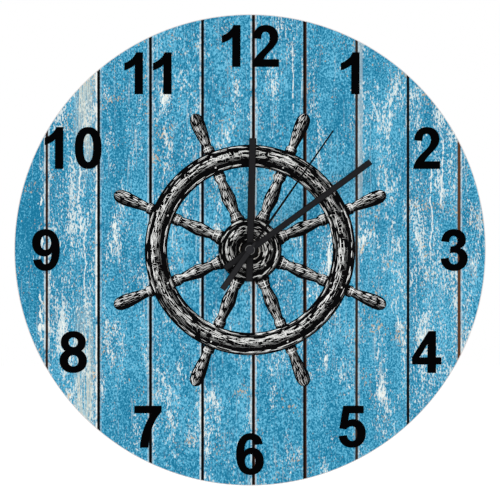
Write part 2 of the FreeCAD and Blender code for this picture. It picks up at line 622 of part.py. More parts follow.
def coil_winding():
    """The winding between the flanges."""
    half = bobbin_half_length() - BOBBIN_FLANGE_THICKNESS
    reach = half + CUT_OVERRUN
    outer = along_x(WINDING_RADIUS, -half, half, COIL_HEIGHT, COIL_DEPTH)
    return outer.cut(along_x(BOBBIN_TUBE_RADIUS, -reach, reach, COIL_HEIGHT, COIL_DEPTH))


def circuit_board():
    """A strip along the partition with a larger block on its left."""
    side = ROOM_BESIDE - CONTACT_THICKNESS
    bottom = WALL_GAP - ROOM_BELOW
    strip = block((-side, bottom), (side, bottom + CIRCUIT_STRIP_HEIGHT), CIRCUIT_REAR, PLATE_REAR)
    right = -(SECOND_PAIR.wheel_tip + SIDE_GAP)
    left_block = block((-side, bottom), (right, bottom + CIRCUIT_BLOCK_HEIGHT), CIRCUIT_REAR, PLATE_REAR)
    return joined([strip, left_block])


def circuit_middle():
    """The middle of the board's larger block."""
    right = -(SECOND_PAIR.wheel_tip + SIDE_GAP)
    left = CONTACT_THICKNESS - ROOM_BESIDE
    return ((left + right) / 2, WALL_GAP - ROOM_BELOW + CIRCUIT_BLOCK_HEIGHT / 2)


def driver_chip():
    """Moulded blob over the chip."""
    middle = circuit_middle()
    blob = disc((middle[0] + CHIP_RADIUS, middle[1]), CHIP_RADIUS, CIRCUIT_REAR - CHIP_HEIGHT, CIRCUIT_REAR)
    rear_edges = [edge for edge in blob.Edges if edge.BoundBox.YMin > -CIRCUIT_REAR + CHIP_HEIGHT / 2]
    return blob.makeFillet(CHIP_HEIGHT / 2, rear_edges)


def quartz_crystal():
    """Tuning-fork crystal in its can, lying on the circuit board."""
    middle = circuit_middle()
    base = Vector(middle[0] - CHIP_RADIUS - CRYSTAL_RADIUS, CRYSTAL_RADIUS - CIRCUIT_REAR,
                  middle[1] - CRYSTAL_LENGTH / 2)
    return Part.makeCylinder(CRYSTAL_RADIUS, CRYSTAL_LENGTH, base, Vector(0, 0, 1))


def cell_ends():
    """Where the cell starts and ends along X, without its raised terminal."""
    return (-CELL_LENGTH / 2, CELL_LENGTH / 2 - CELL_CAP_HEIGHT)


def battery_can():
    """Body of the AA cell."""
    start, end = cell_ends()
    can = along_x(CELL_RADIUS, start, end, CELL_AXIS_HEIGHT, CELL_AXIS_DEPTH)
    rims = [edge for edge in can.Edges if edge.BoundBox.XLength < CELL_EDGE_RADIUS]
    return can.makeFillet(CELL_EDGE_RADIUS, rims)


def battery_cap():
    """Raised positive terminal of the cell."""
    end = cell_ends()[1]
    return along_x(CELL_CAP_DIAMETER / 2, end, end + CELL_CAP_HEIGHT, CELL_AXIS_HEIGHT, CELL_AXIS_DEPTH)


def contact_plate(side):
    """The flat part of a contact against the case's side wall, and its tail to the circuit board."""
    wall, inside = side * ROOM_BESIDE, side * (ROOM_BESIDE - CONTACT_THICKNESS)
    low_x, high_x = min(wall, inside), max(wall, inside)
    half = CONTACT_WIDTH / 2
    plate = block(
        (low_x, CELL_AXIS_HEIGHT - half), (high_x, CELL_AXIS_HEIGHT + half),
        CELL_AXIS_DEPTH - half, CELL_AXIS_DEPTH + half)
    tail = block(
        (low_x, CELL_AXIS_HEIGHT), (high_x, WALL_GAP - ROOM_BELOW + CIRCUIT_STRIP_HEIGHT),
        PLATE_REAR - CONTACT_TAIL_WIDTH, PLATE_REAR)
    return [plate, tail]


def contact_positive():
    """Positive contact with a dimple towards the cell's terminal."""
    dimple = along_x(CONTACT_DIMPLE_RADIUS, CELL_LENGTH / 2 + CONTACT_GAP, ROOM_BESIDE,
                     CELL_AXIS_HEIGHT, CELL_AXIS_DEPTH)
    return joined(contact_plate(1) + [dimple])


def contact_negative():
    """Negative contact with a bowed leaf towards the cell's bottom."""
    wall, touch = -ROOM_BESIDE, -CELL_LENGTH / 2 - CONTACT_GAP
    middle, half = CELL_AXIS_HEIGHT, LEAF_HEIGHT / 2
    bow = [
        (wall, middle - half),
        (touch, middle),
        (wall, middle + half),
        (wall, middle + half - 2 * CONTACT_THICKNESS),
        (touch - CONTACT_THICKNESS, middle),
        (wall, middle - half + 2 * CONTACT_THICKNESS),
    ]
    reach = CONTACT_WIDTH / 2 - CONTACT_THICKNESS
    leaf = prism(bow, CELL_AXIS_DEPTH - reach, CELL_AXIS_DEPTH + reach)
    return joined(contact_plate(-1) + [leaf])


def threaded_bush():
    """Brass bush: a flange inside the case and a ridged neck through the board."""
    root = BUSH_RADIUS - BUSH_THREAD_DEPTH
    profile = [
        (0.0, BUSH_FLANGE_REAR), (BUSH_FLANGE_RADIUS, BUSH_FLANGE_REAR),
        (BUSH_FLANGE_RADIUS, FRONT_INSIDE), (BUSH_RADIUS, FRONT_INSIDE),
    ]
    ridges = int((BUSH_FRONT - HANGER_FRONT) / BUSH_THREAD_PITCH)
    for index in range(ridges, 0, -1):
        crest = BUSH_FRONT - index * BUSH_THREAD_PITCH
        profile += [(BUSH_RADIUS, crest), (root, crest + BUSH_THREAD_PITCH / 2)]
    profile += [(root, BUSH_FRONT), (0.0, BUSH_FRONT)]
    corners = [Vector(radius, -depth, 0) for radius, depth in profile]
    section = Part.Face(Part.makePolygon(corners + corners[:1]))
    body = section.revolve(Vector(0, 0, 0), Vector(0, 1, 0), FULL_TURN)
    bore = disc(CENTRE, HOUR_TUBE_RADIUS + RUNNING_CLEARANCE, BUSH_FLANGE_REAR - CUT_OVERRUN,
                BUSH_FRONT + CUT_OVERRUN)
    return body.cut(bore)


def slotted_nut():
    """Round nut with two spanner slots across its front."""
    nut = ring(CENTRE, NUT_RADIUS, BUSH_RADIUS + NUT_CLEARANCE, WASHER_FRONT, NUT_FRONT)
    half, reach = NUT_SLOT_WIDTH / 2, NUT_RADIUS + CUT_OVERRUN
    for corner in ((reach, half), (half, reach)):
        slot = block((-corner[0], -corner[1]), corner, NUT_FRONT - NUT_SLOT_DEPTH, NUT_FRONT + CUT_OVERRUN)
        nut = nut.cut(slot)
    return nut


def front_washer():
    """Thin washer between the nut and the face."""
    return ring(CENTRE, FRONT_WASHER_RADIUS, BUSH_RADIUS + NUT_CLEARANCE, FACE_FRONT, WASHER_FRONT)


def rubber_gasket():
    """Rubber washer between the hanger and the board."""
    return ring(CENTRE, GASKET_RADIUS, BUSH_RADIUS + LOOSE_CLEARANCE, HANGER_FRONT, BOARD_REAR)


def hanger_plate():
    """Steel strip bent back over the case, with a keyhole in its upper tab."""
    half = HANGER_WIDTH / 2
    tab_front = HANGER_BACK_RECESS + HANGER_THICKNESS
    side_view = [
        (HANGER_FRONT, -HANGER_FOOT),
        (HANGER_FRONT, SHELF_TOP),
        (tab_front, SHELF_TOP),
        (tab_front, HANGER_TOP),
        (HANGER_BACK_RECESS, HANGER_TOP),
        (HANGER_BACK_RECESS, SHELF_BOTTOM),
        (CASE_DEPTH, SHELF_BOTTOM),
        (CASE_DEPTH, -HANGER_FOOT),
    ]
    corners = [Vector(-half, -depth, height) for depth, height in side_view]
    strip = Part.Face(Part.makePolygon(corners + corners[:1])).extrude(Vector(HANGER_WIDTH, 0, 0))
    bends = [(HANGER_FRONT, SHELF_TOP), (tab_front, SHELF_TOP), (HANGER_BACK_RECESS, SHELF_BOTTOM),
             (CASE_DEPTH, SHELF_BOTTOM)]
    strip = strip.makeFillet(HANGER_BEND_RADIUS, [edge for edge in strip.Edges if is_bend(edge, bends)])
    top_corners = [edge for edge in strip.Edges if edge.BoundBox.ZMin > HANGER_TOP - HANGER_THICKNESS
                   and edge.BoundBox.XLength < HANGER_THICKNESS]
    strip = strip.makeFillet(HANGER_CORNER_RADIUS, top_corners)
    bush_hole = BUSH_RADIUS + LOOSE_CLEARANCE
    strip = strip.cut(disc(CENTRE, bush_hole, CASE_DEPTH - CUT_OVERRUN, HANGER_FRONT + CUT_OVERRUN))
    rear, front = HANGER_BACK_RECESS - CUT_OVERRUN, tab_front + CUT_OVERRUN
    slot_half = KEYHOLE_SLOT_WIDTH / 2
    strip = strip.cut(disc((0.0, KEYHOLE_HEIGHT), KEYHOLE_RADIUS, rear, front))
    strip = strip.cut(disc((0.0, KEYHOLE_SLOT_TOP), slot_half, rear, front))
    return strip.cut(block((-slot_half, KEYHOLE_HEIGHT), (slot_half, KEYHOLE_SLOT_TOP), rear, front))


def is_bend(edge, bends):
    """Whether an edge runs along X at one of the listed (depth, height) corners."""
    middle = edge.BoundBox.Center
    near = HANGER_THICKNESS / 10
    runs_across = edge.BoundBox.XLength > HANGER_WIDTH / 2
    return runs_across and any(
        abs(middle.y + depth) < near and abs(middle.z - height) < near for depth, height in bends)


def second_shaft():
    """Steel arbor of the second hand, with its pinion."""
    rear = COVER_THICKNESS + BEARING_BOSS_HEIGHT - BLIND_BORE_DEPTH + END_SHAKE
    arbor = disc(CENTRE, SECOND_SHAFT_RADIUS, rear, SECOND_SHAFT_FRONT)
    teeth = pinion(THIRD_PAIR, CENTRE, SECOND_PINION_TURN, THIRD_LAYER, THIRD_LAYER + WHEEL_THICKNESS)
    return joined([arbor, teeth])


def second_wheel():
    """Wheel pressed on the second shaft behind the train plate."""
    teeth = wheel(SECOND_PAIR, CENTRE, SECOND_WHEEL_TURN, SECOND_LAYER)
    return teeth.cut(disc(CENTRE, SECOND_SHAFT_RADIUS, SECOND_LAYER - CUT_OVERRUN, PLATE_REAR))


def third_wheel():
    """Wheel and pinion between the second shaft and the centre wheel."""
    front = FRONT_INSIDE + BLIND_BORE_DEPTH - END_SHAKE
    return joined([
        wheel(THIRD_PAIR, THIRD_AXIS, THIRD_WHEEL_TURN, THIRD_LAYER),
        pinion(CENTRE_PAIR, THIRD_AXIS, THIRD_PINION_TURN, THIRD_LAYER, CENTRE_LAYER + WHEEL_THICKNESS),
        disc(THIRD_AXIS, ARBOR_RADIUS, PLATE_REAR + END_SHAKE, front),
    ])


def centre_wheel():
    """Wheel that turns the minute tube through the clutch washer."""
    teeth = wheel(CENTRE_PAIR, CENTRE, CENTRE_WHEEL_TURN, CENTRE_LAYER)
    bore = disc(CENTRE, CLUTCH_HUB_RADIUS + RUNNING_CLEARANCE, CENTRE_LAYER - CUT_OVERRUN, MOTION_LAYER)
    return teeth.cut(bore)


def clutch_washer():
    """Spring washer on the centre wheel, pressed towards the minute pinion."""
    inner = CLUTCH_HUB_RADIUS + RUNNING_CLEARANCE
    rear = CENTRE_LAYER + WHEEL_THICKNESS
    return ring(CENTRE, inner + CLUTCH_WASHER_WIDTH, inner, rear, rear + CLUTCH_WASHER_THICKNESS)


def minute_tube():
    """Minute pinion with its clutch hub behind and the minute hand's tube in front."""
    body = joined([
        disc(CENTRE, CLUTCH_HUB_RADIUS, CENTRE_LAYER - LAYER_GAP / 4, MOTION_LAYER),
        pinion(MOTION_PAIR, CENTRE, MINUTE_PINION_TURN, MOTION_LAYER, MOTION_LAYER + WHEEL_THICKNESS),
        disc(CENTRE, MINUTE_TUBE_RADIUS, MOTION_LAYER + WHEEL_THICKNESS, MINUTE_TUBE_FRONT),
    ])
    bore_radius = SECOND_SHAFT_RADIUS + RUNNING_CLEARANCE
    return body.cut(disc(CENTRE, bore_radius, THIRD_LAYER, MINUTE_TUBE_FRONT + CUT_OVERRUN))


def motion_wheel():
    """Wheel and pinion that slow the minute tube down to the hour wheel."""
    front = FRONT_INSIDE + BLIND_BORE_DEPTH - END_SHAKE
    return joined([
        wheel(MOTION_PAIR, MOTION_AXIS, MOTION_WHEEL_TURN, MOTION_LAYER),
        pinion(HOUR_PAIR, MOTION_AXIS, MOTION_PINION_TURN, MOTION_LAYER, HOUR_LAYER + WHEEL_THICKNESS),
        disc(MOTION_AXIS, ARBOR_RADIUS, PLATE_REAR + END_SHAKE, front),
    ])


def hour_wheel():
    """Hour wheel with the hour hand's tube."""
    body = joined([
        wheel(HOUR_PAIR, CENTRE, HOUR_WHEEL_TURN, HOUR_LAYER),
        disc(CENTRE, HOUR_TUBE_RADIUS, HOUR_LAYER, HOUR_TUBE_FRONT),
    ])
    bore_radius = MINUTE_TUBE_RADIUS + RUNNING_CLEARANCE
    return body.cut(disc(CENTRE, bore_radius, HOUR_LAYER - CUT_OVERRUN, HOUR_TUBE_FRONT + CUT_OVERRUN))


def intermediate_wheel():
    """Wheel and pinion between the rotor and the second wheel."""
    rear = COVER_THICKNESS + BEARING_BOSS_HEIGHT - BLIND_BORE_DEPTH + END_SHAKE
    return joined([
        wheel(ROTOR_PAIR, INTERMEDIATE_AXIS, INTERMEDIATE_WHEEL_TURN, INTERMEDIATE_LAYER),
        pinion(SECOND_PAIR, INTERMEDIATE_AXIS, INTERMEDIATE_PINION_TURN, INTERMEDIATE_LAYER,
               SECOND_LAYER + WHEEL_THICKNESS),
        disc(INTERMEDIATE_AXIS, ARBOR_RADIUS, rear, PLATE_FRONT - END_SHAKE),
    ])


def rotor_pinion():
    """Rotor arbor with its pinion."""
    rear = COVER_THICKNESS + BEARING_BOSS_HEIGHT - BLIND_BORE_DEPTH + END_SHAKE
    front = INTERMEDIATE_LAYER + WHEEL_THICKNESS
    return joined([
        pinion(ROTOR_PAIR, ROTOR_AXIS, ROTOR_PINION_TURN, INTERMEDIATE_LAYER, front),
        disc(ROTOR_AXIS, ARBOR_RADIUS, rear, PLATE_FRONT - END_SHAKE),
    ])


def rotor_magnet():
    """Disc magnet on the rotor arbor."""
    return ring(ROTOR_AXIS, MAGNET_RADIUS, ARBOR_RADIUS, MAGNET_REAR, MAGNET_FRONT)


def set_knob():
    """Setting knob in the cover's cup, with its shaft and pinion."""
    levels = [(KNOB_RADIUS - KNOB_RIB_DEPTH, KNOB_RIB_DEPTH), (KNOB_RADIUS, KNOB_RIB_DEPTH / 2)]
    rear = KNOB_BACK_RECESS
    head = prism(tooth_outline(KNOB_AXIS, KNOB_RIBS, 0.0, levels), rear, rear + KNOB_THICKNESS)
    dish = disc(KNOB_AXIS, KNOB_DISH_RADIUS, rear - CUT_OVERRUN, rear + KNOB_DISH_DEPTH)
    return joined([
        head.cut(dish),
        disc(KNOB_AXIS, KNOB_SHAFT_RADIUS, rear + KNOB_DISH_DEPTH, MOTION_LAYER),
        pinion(KNOB_PAIR, KNOB_AXIS, KNOB_PINION_TURN, MOTION_LAYER, MOTION_LAYER + WHEEL_THICKNESS),
        disc(KNOB_AXIS, ARBOR_RADIUS, MOTION_LAYER, FRONT_INSIDE + BLIND_BORE_DEPTH - END_SHAKE),
    ])


def along_hand(angle, along, across):
    """A plane point in a hand's own directions: along it and across it to its right."""
    turn = math.radians(angle)
    return (
        along * math.sin(turn) + across * math.cos(turn),
        along * math.cos(turn) - across * math.sin(turn),
    )


def hand(angle, outline, hub_radius, bore_radius, rear, front):
    """A flat hand: an outline of (along, across) points and a round hub with a bore."""
    blade = prism([along_hand(angle, along, across) for along, across in outline], rear, front)
    hub = disc(CENTRE, hub_radius, rear, front)
    return joined([blade, hub]).cut(disc(CENTRE, bore_radius, rear - CUT_OVERRUN, front + CUT_OVERRUN))


def baton_outline(tip, tail, width):
    """A straight hand of one width."""
    half = width / 2
    return [(-tail, -half), (tip, -half), (tip, half), (-tail, half)]


def hour_hand():
    """Hour hand blade and hub."""
    outline = baton_outline(HOUR_TIP, HOUR_TAIL, HOUR_WIDTH)
    return hand(HOUR_ANGLE, outline, HUB_RADIUS, HOUR_TUBE_RADIUS, HOUR_HAND_REAR, HOUR_HAND_FRONT)


def hour_collet():
    """Collet that grips the hour tube."""
    return ring(CENTRE, HOUR_TUBE_RADIUS + COLLET_WALL, HOUR_TUBE_RADIUS, HOUR_COLLET_REAR, HOUR_HAND_REAR)


def minute_hand():
    """Minute hand blade and hub."""
    outline = baton_outline(MINUTE_TIP, MINUTE_TAIL, MINUTE_WIDTH)
    return hand(MINUTE_ANGLE, outline, HUB_RADIUS, MINUTE_TUBE_RADIUS, MINUTE_HAND_REAR, MINUTE_HAND_FRONT)


def minute_collet():
    """Collet that grips the minute tube."""
    outer = MINUTE_TUBE_RADIUS + COLLET_WALL
    return ring(CENTRE, outer, MINUTE_TUBE_RADIUS, MINUTE_COLLET_REAR, MINUTE_HAND_REAR)


def second_hand():
    """Tapered needle with a wide counterweight."""
    root, point, tail = SECOND_ROOT_WIDTH / 2, SECOND_POINT_WIDTH / 2, SECOND_TAIL_WIDTH / 2
    outline = [
        (SECOND_TIP, -point), (SECOND_TIP, point), (0.0, root), (0.0, tail),
        (-SECOND_TAIL, tail), (-SECOND_TAIL, -tail), (0.0, -tail), (0.0, -root),
    ]
    rear, front = SECOND_HAND_REAR, SECOND_HAND_FRONT
    return hand(SECOND_ANGLE, outline, SECOND_HUB_RADIUS, SECOND_SHAFT_RADIUS, rear, front)


def second_collet():
    """Bright collet behind the second hand, a little wider than the hand's hub."""
    inner, front = SECOND_SHAFT_RADIUS, SECOND_HAND_REAR
    barrel = ring(CENTRE, inner + COLLET_WALL, inner, SECOND_COLLET_REAR, front)
    rim = ring(CENTRE, SECOND_COLLET_RADIUS, inner, front - SECOND_COLLET_RIM, front)
    return joined([barrel, rim])


def second_hand_cap():
    """Round cap over the end of the second shaft."""
    front = SECOND_HAND_FRONT + CAP_HEIGHT
    cap = disc(CENTRE, CAP_RADIUS, SECOND_HAND_FRONT, front)
    rim = [edge for edge in cap.Edges if edge.BoundBox.YMax < -SECOND_HAND_FRONT - CAP_HEIGHT / 2]
    cap = cap.makeFillet(CAP_HEIGHT / 2, rim)
    return cap.cut(disc(CENTRE, CAP_DIMPLE_RADIUS, front - CAP_DIMPLE_DEPTH, front + CUT_OVERRUN))


BUILDERS = {
    "dial_board": dial_board,
    "dial_face_print": dial_face_print,
    "movement_case": movement_case,
    "movement_cover": movement_cover,
    "train_plate": train_plate,
    "stator_left": lambda: stator_plate(-1),
    "stator_right": lambda: stator_plate(1),
    "coil_core": coil_core,
    "coil_bobbin": coil_bobbin,
    "coil_winding": coil_winding,
    "circuit_board": circuit_board,
    "driver_chip": driver_chip,
    "quartz_crystal": quartz_crystal,
    "contact_positive": contact_positive,
    "contact_negative": contact_negative,
    "battery_can": battery_can,
    "battery_cap": battery_cap,
    "threaded_bush": threaded_bush,
    "slotted_nut": slotted_nut,
    "front_washer": front_washer,
    "rubber_gasket": rubber_gasket,
    "hanger_plate": hanger_plate,
    "rotor_magnet": rotor_magnet,
    "rotor_pinion": rotor_pinion,
    "intermediate_wheel": intermediate_wheel,
    "second_wheel": second_wheel,
    "second_shaft": second_shaft,
    "third_wheel": third_wheel,
    "centre_wheel": centre_wheel,
    "clutch_washer": clutch_washer,
    "minute_tube": minute_tube,
    "motion_wheel": motion_wheel,
    "hour_wheel": hour_wheel,
    "set_knob": set_knob,
    "hour_hand": hour_hand,
    "hour_collet": hour_collet,
    "minute_hand": minute_hand,
    "minute_collet": minute_collet,
    "second_hand": second_hand,
    "second_collet": second_collet,
    "second_hand_cap": second_hand_cap,
}


def main():
    """Build every piece and write one STEP file for each."""
    os.makedirs(OUT_FOLDER, exist_ok=True)
    for name, build in BUILDERS.items():
        shape = build()
        solids = shape.Solids
        if len(solids) != 1 or not shape.isValid():
            raise ValueError(f"{name}: {len(solids)} solids, valid {shape.isValid()}")
        solids[0].exportStep(os.path.join(OUT_FOLDER, f"{name}.step"))
        print(f"{name}: volume {solids[0].Volume:.1f} mm3")


main()
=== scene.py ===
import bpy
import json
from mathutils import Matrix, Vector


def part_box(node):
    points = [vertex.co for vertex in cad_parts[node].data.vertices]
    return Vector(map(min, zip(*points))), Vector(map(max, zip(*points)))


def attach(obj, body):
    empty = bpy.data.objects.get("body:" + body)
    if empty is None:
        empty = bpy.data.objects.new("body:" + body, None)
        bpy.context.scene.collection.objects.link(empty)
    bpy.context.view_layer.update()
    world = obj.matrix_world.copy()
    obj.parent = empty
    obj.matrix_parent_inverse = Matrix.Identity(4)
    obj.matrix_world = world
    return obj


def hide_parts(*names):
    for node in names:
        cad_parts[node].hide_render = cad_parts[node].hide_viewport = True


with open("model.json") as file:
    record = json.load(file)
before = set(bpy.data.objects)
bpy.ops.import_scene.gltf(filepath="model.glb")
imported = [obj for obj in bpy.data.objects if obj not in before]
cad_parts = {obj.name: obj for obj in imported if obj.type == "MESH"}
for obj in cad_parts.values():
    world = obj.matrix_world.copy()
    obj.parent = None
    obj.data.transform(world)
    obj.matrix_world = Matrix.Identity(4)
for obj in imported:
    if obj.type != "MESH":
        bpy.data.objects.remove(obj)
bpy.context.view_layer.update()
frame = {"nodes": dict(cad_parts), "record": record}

"""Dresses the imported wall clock: a printed board with planks, numerals and a picture, and a movement behind.

Lengths in the classes are in millimetres, measured in the face's plane: x to the viewer's right and z up
from the hand arbor. Depth is the distance that a point stands out from the wall, so y is minus the depth.
Meshes are made in metres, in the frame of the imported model. Directions run anticlockwise from +x, in
radians. An outline is rows of x and z, closed from the last to the first.
"""

import json
import logging
import math
from dataclasses import dataclass, field
from enum import Enum
from functools import reduce
from typing import Optional, Sequence

import bpy
import numpy as np
from mathutils import Vector
from mathutils.geometry import delaunay_2d_cdt

LOG = logging.getLogger("wall_clock")
METRES = 0.001
FULL_TURN = 2 * math.pi
BODY = "clock_body"
BOARD_NODE = "dial_board"
PRINT_NODE = "dial_face_print"
SEED = 1207
FINE_RELIEF = 0.00001
INK_SUNK = 0.05
LATHE_STEPS = 360
STROKE_POINTS = 6
SMALLEST = 1e-9
Colour = tuple[float, float, float]
Axes = tuple[float, float, float]
Span = tuple[float, float]
Array = np.ndarray
Mesh = tuple[Array, list[list[int]]]


def from_screen(red: int, green: int, blue: int) -> Colour:
    """Turns a colour of 0 to 255 as a screen shows it into the linear values that a shader takes.

    Args:
        red: the red part.
        green: the green part.
        blue: the blue part.

    Returns:
        Three linear values from 0 to 1.
    """
    shares = np.array([red, green, blue]) / 255.0
    low, high = shares / 12.92, ((shares + 0.055) / 1.055) ** 2.4
    return tuple(float(value) for value in np.where(shares <= 0.04045, low, high))


def grey(value: int) -> Colour:
    """A grey of 0 to 255 as a screen shows it."""
    return from_screen(value, value, value)


class Grain(Enum):
    """How the fine marks of a metal run."""

    ALONG_X = (0.04, 1.0, 1.0)
    ALONG_Z = (1.0, 1.0, 0.04)
    EVEN = (1.0, 1.0, 1.0)


class Tone(Enum):
    """The inks of the picture."""

    BLACK = "black"
    GREY = "grey"
    WHITE = "white"


class Kind(Enum):
    """What a socket of a node group carries."""

    COLOUR = "NodeSocketColor"
    NUMBER = "NodeSocketFloat"
    PLACE = "NodeSocketVector"


@dataclass(frozen=True)
class Wire:
    """A node's output. Arithmetic on it places Math nodes."""

    bench: "Bench"
    socket: bpy.types.NodeSocket

    def __add__(self, other: object) -> "Wire":
        """This number plus another."""
        return self.bench.sum("ADD", self, other)

    def __radd__(self, other: float) -> "Wire":
        """A plain number plus this one."""
        return self.bench.sum("ADD", other, self)

    def __sub__(self, other: object) -> "Wire":
        """This number less another."""
        return self.bench.sum("SUBTRACT", self, other)

    def __rsub__(self, other: float) -> "Wire":
        """A plain number less this one."""
        return self.bench.sum("SUBTRACT", other, self)

    def __mul__(self, other: object) -> "Wire":
        """This number times another."""
        return self.bench.sum("MULTIPLY", self, other)

    def __truediv__(self, other: object) -> "Wire":
        """This number divided by another."""
        return self.bench.sum("DIVIDE", self, other)

    def __abs__(self) -> "Wire":
        """This number without its sign."""
        return self.bench.sum("ABSOLUTE", self)


@dataclass
class Bench:
    """Places shader nodes in one tree and joins them up."""

    tree: bpy.types.NodeTree

    def fill(self, node: bpy.types.Node, inputs: dict) -> None:
        """Feeds sockets of a node.

        Args:
            node: the node.
            inputs: a wire or a value for each socket, by the socket's name or place.
        """
        for key, value in inputs.items():
            socket = node.inputs[key]
            if isinstance(value, Wire):
                self.tree.links.new(value.socket, socket)
            elif isinstance(value, tuple) and socket.type == "RGBA":
                socket.default_value = (*value, 1.0)
            else:
                socket.default_value = value

    def put(self, kind: str, inputs: Optional[dict] = None, **settings: object) -> bpy.types.Node:
        """Adds a node.

        Args:
            kind: Blender's name of the node type.
            inputs: what goes into its sockets, as fill takes it.
            settings: attributes of the node, such as its operation.

        Returns:
            The new node.
        """
        node = self.tree.nodes.new(kind)
        for name, value in settings.items():
            setattr(node, name, value)
        self.fill(node, inputs or {})
        return node

    def outs(self, kind: str, names: Sequence[object], inputs: Optional[dict] = None,
             **settings: object) -> list[Wire]:
        """Adds a node as put does and gives the outputs of those names or places."""
        node = self.put(kind, inputs, **settings)
        return [Wire(self, node.outputs[name]) for name in names]

    def out(self, kind: str, inputs: Optional[dict] = None, output: object = 0, **settings: object) -> Wire:
        """Adds a node as put does and gives one of its outputs."""
        return self.outs(kind, [output], inputs, **settings)[0]

    def sum(self, operation: str, *values: object, clamp: bool = False) -> Wire:
        """Works out one number from others with a Math node."""
        return self.out("ShaderNodeMath", dict(enumerate(values)), operation=operation, use_clamp=clamp)

    def largest(self, *values: object) -> Wire:
        """The largest of some numbers."""
        return reduce(lambda first, second: self.sum("MAXIMUM", first, second), values)

    def vector(self, operation: str, inputs: dict, output: object = 0) -> Wire:
        """Works out a vector, or a number from one, with a Vector Math node."""
        return self.out("ShaderNodeVectorMath", inputs, output, operation=operation)

    def scale(self, vector: Wire, factor: object) -> Wire:
        """A vector or colour times a number."""
        return self.vector("SCALE", {0: vector, 3: factor})

    def across_and_up(self, place: Wire) -> list[Wire]:
        """The x and the z of a place."""
        return self.outs("ShaderNodeSeparateXYZ", ("X", "Z"), {0: place})

    def blend(self, share: object, first: object, second: object) -> Wire:
        """Mixes two colours by a share from 0 to 1."""
        return self.out("ShaderNodeMix", {0: share, 6: first, 7: second}, 2, data_type="RGBA")

    def between(self, value: object, low: object, high: object) -> Wire:
        """Smoothly rises from 0 to 1 while a value goes from low to high."""
        return self.out("ShaderNodeMapRange", {0: value, 1: low, 2: high}, interpolation_type="SMOOTHSTEP")

    def noise(self, place: Wire, scale: object, detail: float = 2.0, roughness: float = 0.5,
              output: str = "Fac") -> Wire:
        """Noise about 0.5, with scale cells for each unit of the place and finer layers as in cloud."""
        inputs = {"Vector": place, "Scale": scale, "Detail": detail, "Roughness": roughness}
        return self.out("ShaderNodeTexNoise", inputs, output)

    def cloud(self, place: Wire, scale: float, detail: float = 2.0, roughness: float = 0.5,
              stretch: Axes = (1.0, 1.0, 1.0), shift: Axes = (0.0, 0.0, 0.0)) -> Wire:
        """Noise from 0 to 1 about 0.5, on stretched coordinates.

        Args:
            place: the coordinates.
            scale: cells for each unit of the coordinates.
            detail: number of finer layers.
            roughness: strength of the finer layers.
            stretch: factor on each coordinate, small to draw the pattern out along it.
            shift: added to the coordinates, so that two clouds differ.

        Returns:
            The noise value.
        """
        moved = self.out("ShaderNodeMapping", {"Vector": place, "Scale": stretch, "Location": shift})
        return self.noise(moved, scale, detail, roughness)

    def lookup(self, number: Wire, first: int, values: Sequence[object]) -> Wire:
        """Looks up one value for each whole number, by a ramp that jumps from value to value.

        Args:
            number: the whole number.
            first: the number that the first value belongs to.
            values: colours, or numbers from 0.

        Returns:
            The value for the number.
        """
        node = self.put("ShaderNodeValToRGB", {0: (number + (0.5 - first)) / len(values)})
        ramp = node.color_ramp
        ramp.interpolation = "CONSTANT"
        while len(ramp.elements) < len(values):
            ramp.elements.new(1.0)
        for index, (element, value) in enumerate(zip(ramp.elements, values)):
            element.position = index / len(values)
            element.color = (*(value if isinstance(value, tuple) else (value, value, value)), 1.0)
        return Wire(self, node.outputs[0])

    def signed_lookup(self, number: Wire, first: int, values: Sequence[float]) -> Wire:
        """Looks up numbers from -1, which lookup can't hold below 0."""
        return self.lookup(number, first, [value + 1.0 for value in values]) - 1.0


@dataclass
class Group:
    """A shader node group, built once: its inputs with their first values, and its outputs.

    Its first input, before those, is the place that it reads.
    """

    name: str
    values: dict[str, object]
    outputs: dict[str, Kind]
    bench: Bench = field(init=False)
    source: bpy.types.Node = field(init=False)

    def __post_init__(self) -> None:
        """Makes the tree and its sockets."""
        self.bench = Bench(bpy.data.node_groups.new(self.name, "ShaderNodeTree"))
        interface = self.bench.tree.interface
        interface.new_socket("Place", in_out="INPUT", socket_type=Kind.PLACE.value)
        for name, value in self.values.items():
            kind = Kind.COLOUR if isinstance(value, tuple) else Kind.NUMBER
            socket = interface.new_socket(name, in_out="INPUT", socket_type=kind.value)
            socket.default_value = (*value, 1.0) if kind is Kind.COLOUR else value
        for name, kind in self.outputs.items():
            interface.new_socket(name, in_out="OUTPUT", socket_type=kind.value)
        self.source = self.bench.put("NodeGroupInput")

    def entries(self) -> list[Wire]:
        """The inputs seen from inside, the place first."""
        return [Wire(self.bench, self.source.outputs[name]) for name in ("Place", *self.values)]

    def send(self, **results: object) -> None:
        """Joins results to the group's outputs, with _ for a space in a name."""
        self.bench.put("NodeGroupOutput", {name.replace("_", " "): value for name, value in results.items()})

    def place_in(self, bench: Bench, place: Wire, **values: object) -> dict[str, Wire]:
        """Puts the group in a material.

        Args:
            bench: the material's bench.
            place: the coordinates that it reads.
            values: its other inputs, with _ for a space in a name.

        Returns:
            Its outputs by their names.
        """
        inputs = {"Place": place, **{name.replace("_", " "): value for name, value in values.items()}}
        wires = bench.outs("ShaderNodeGroup", list(self.outputs), inputs, node_tree=self.bench.tree)
        return dict(zip(self.outputs, wires))


SURFACE_OUTPUTS = {"Colour": Kind.COLOUR, "Roughness": Kind.NUMBER, "Height": Kind.NUMBER}
MASK_OUTPUT = {"Mask": Kind.NUMBER}


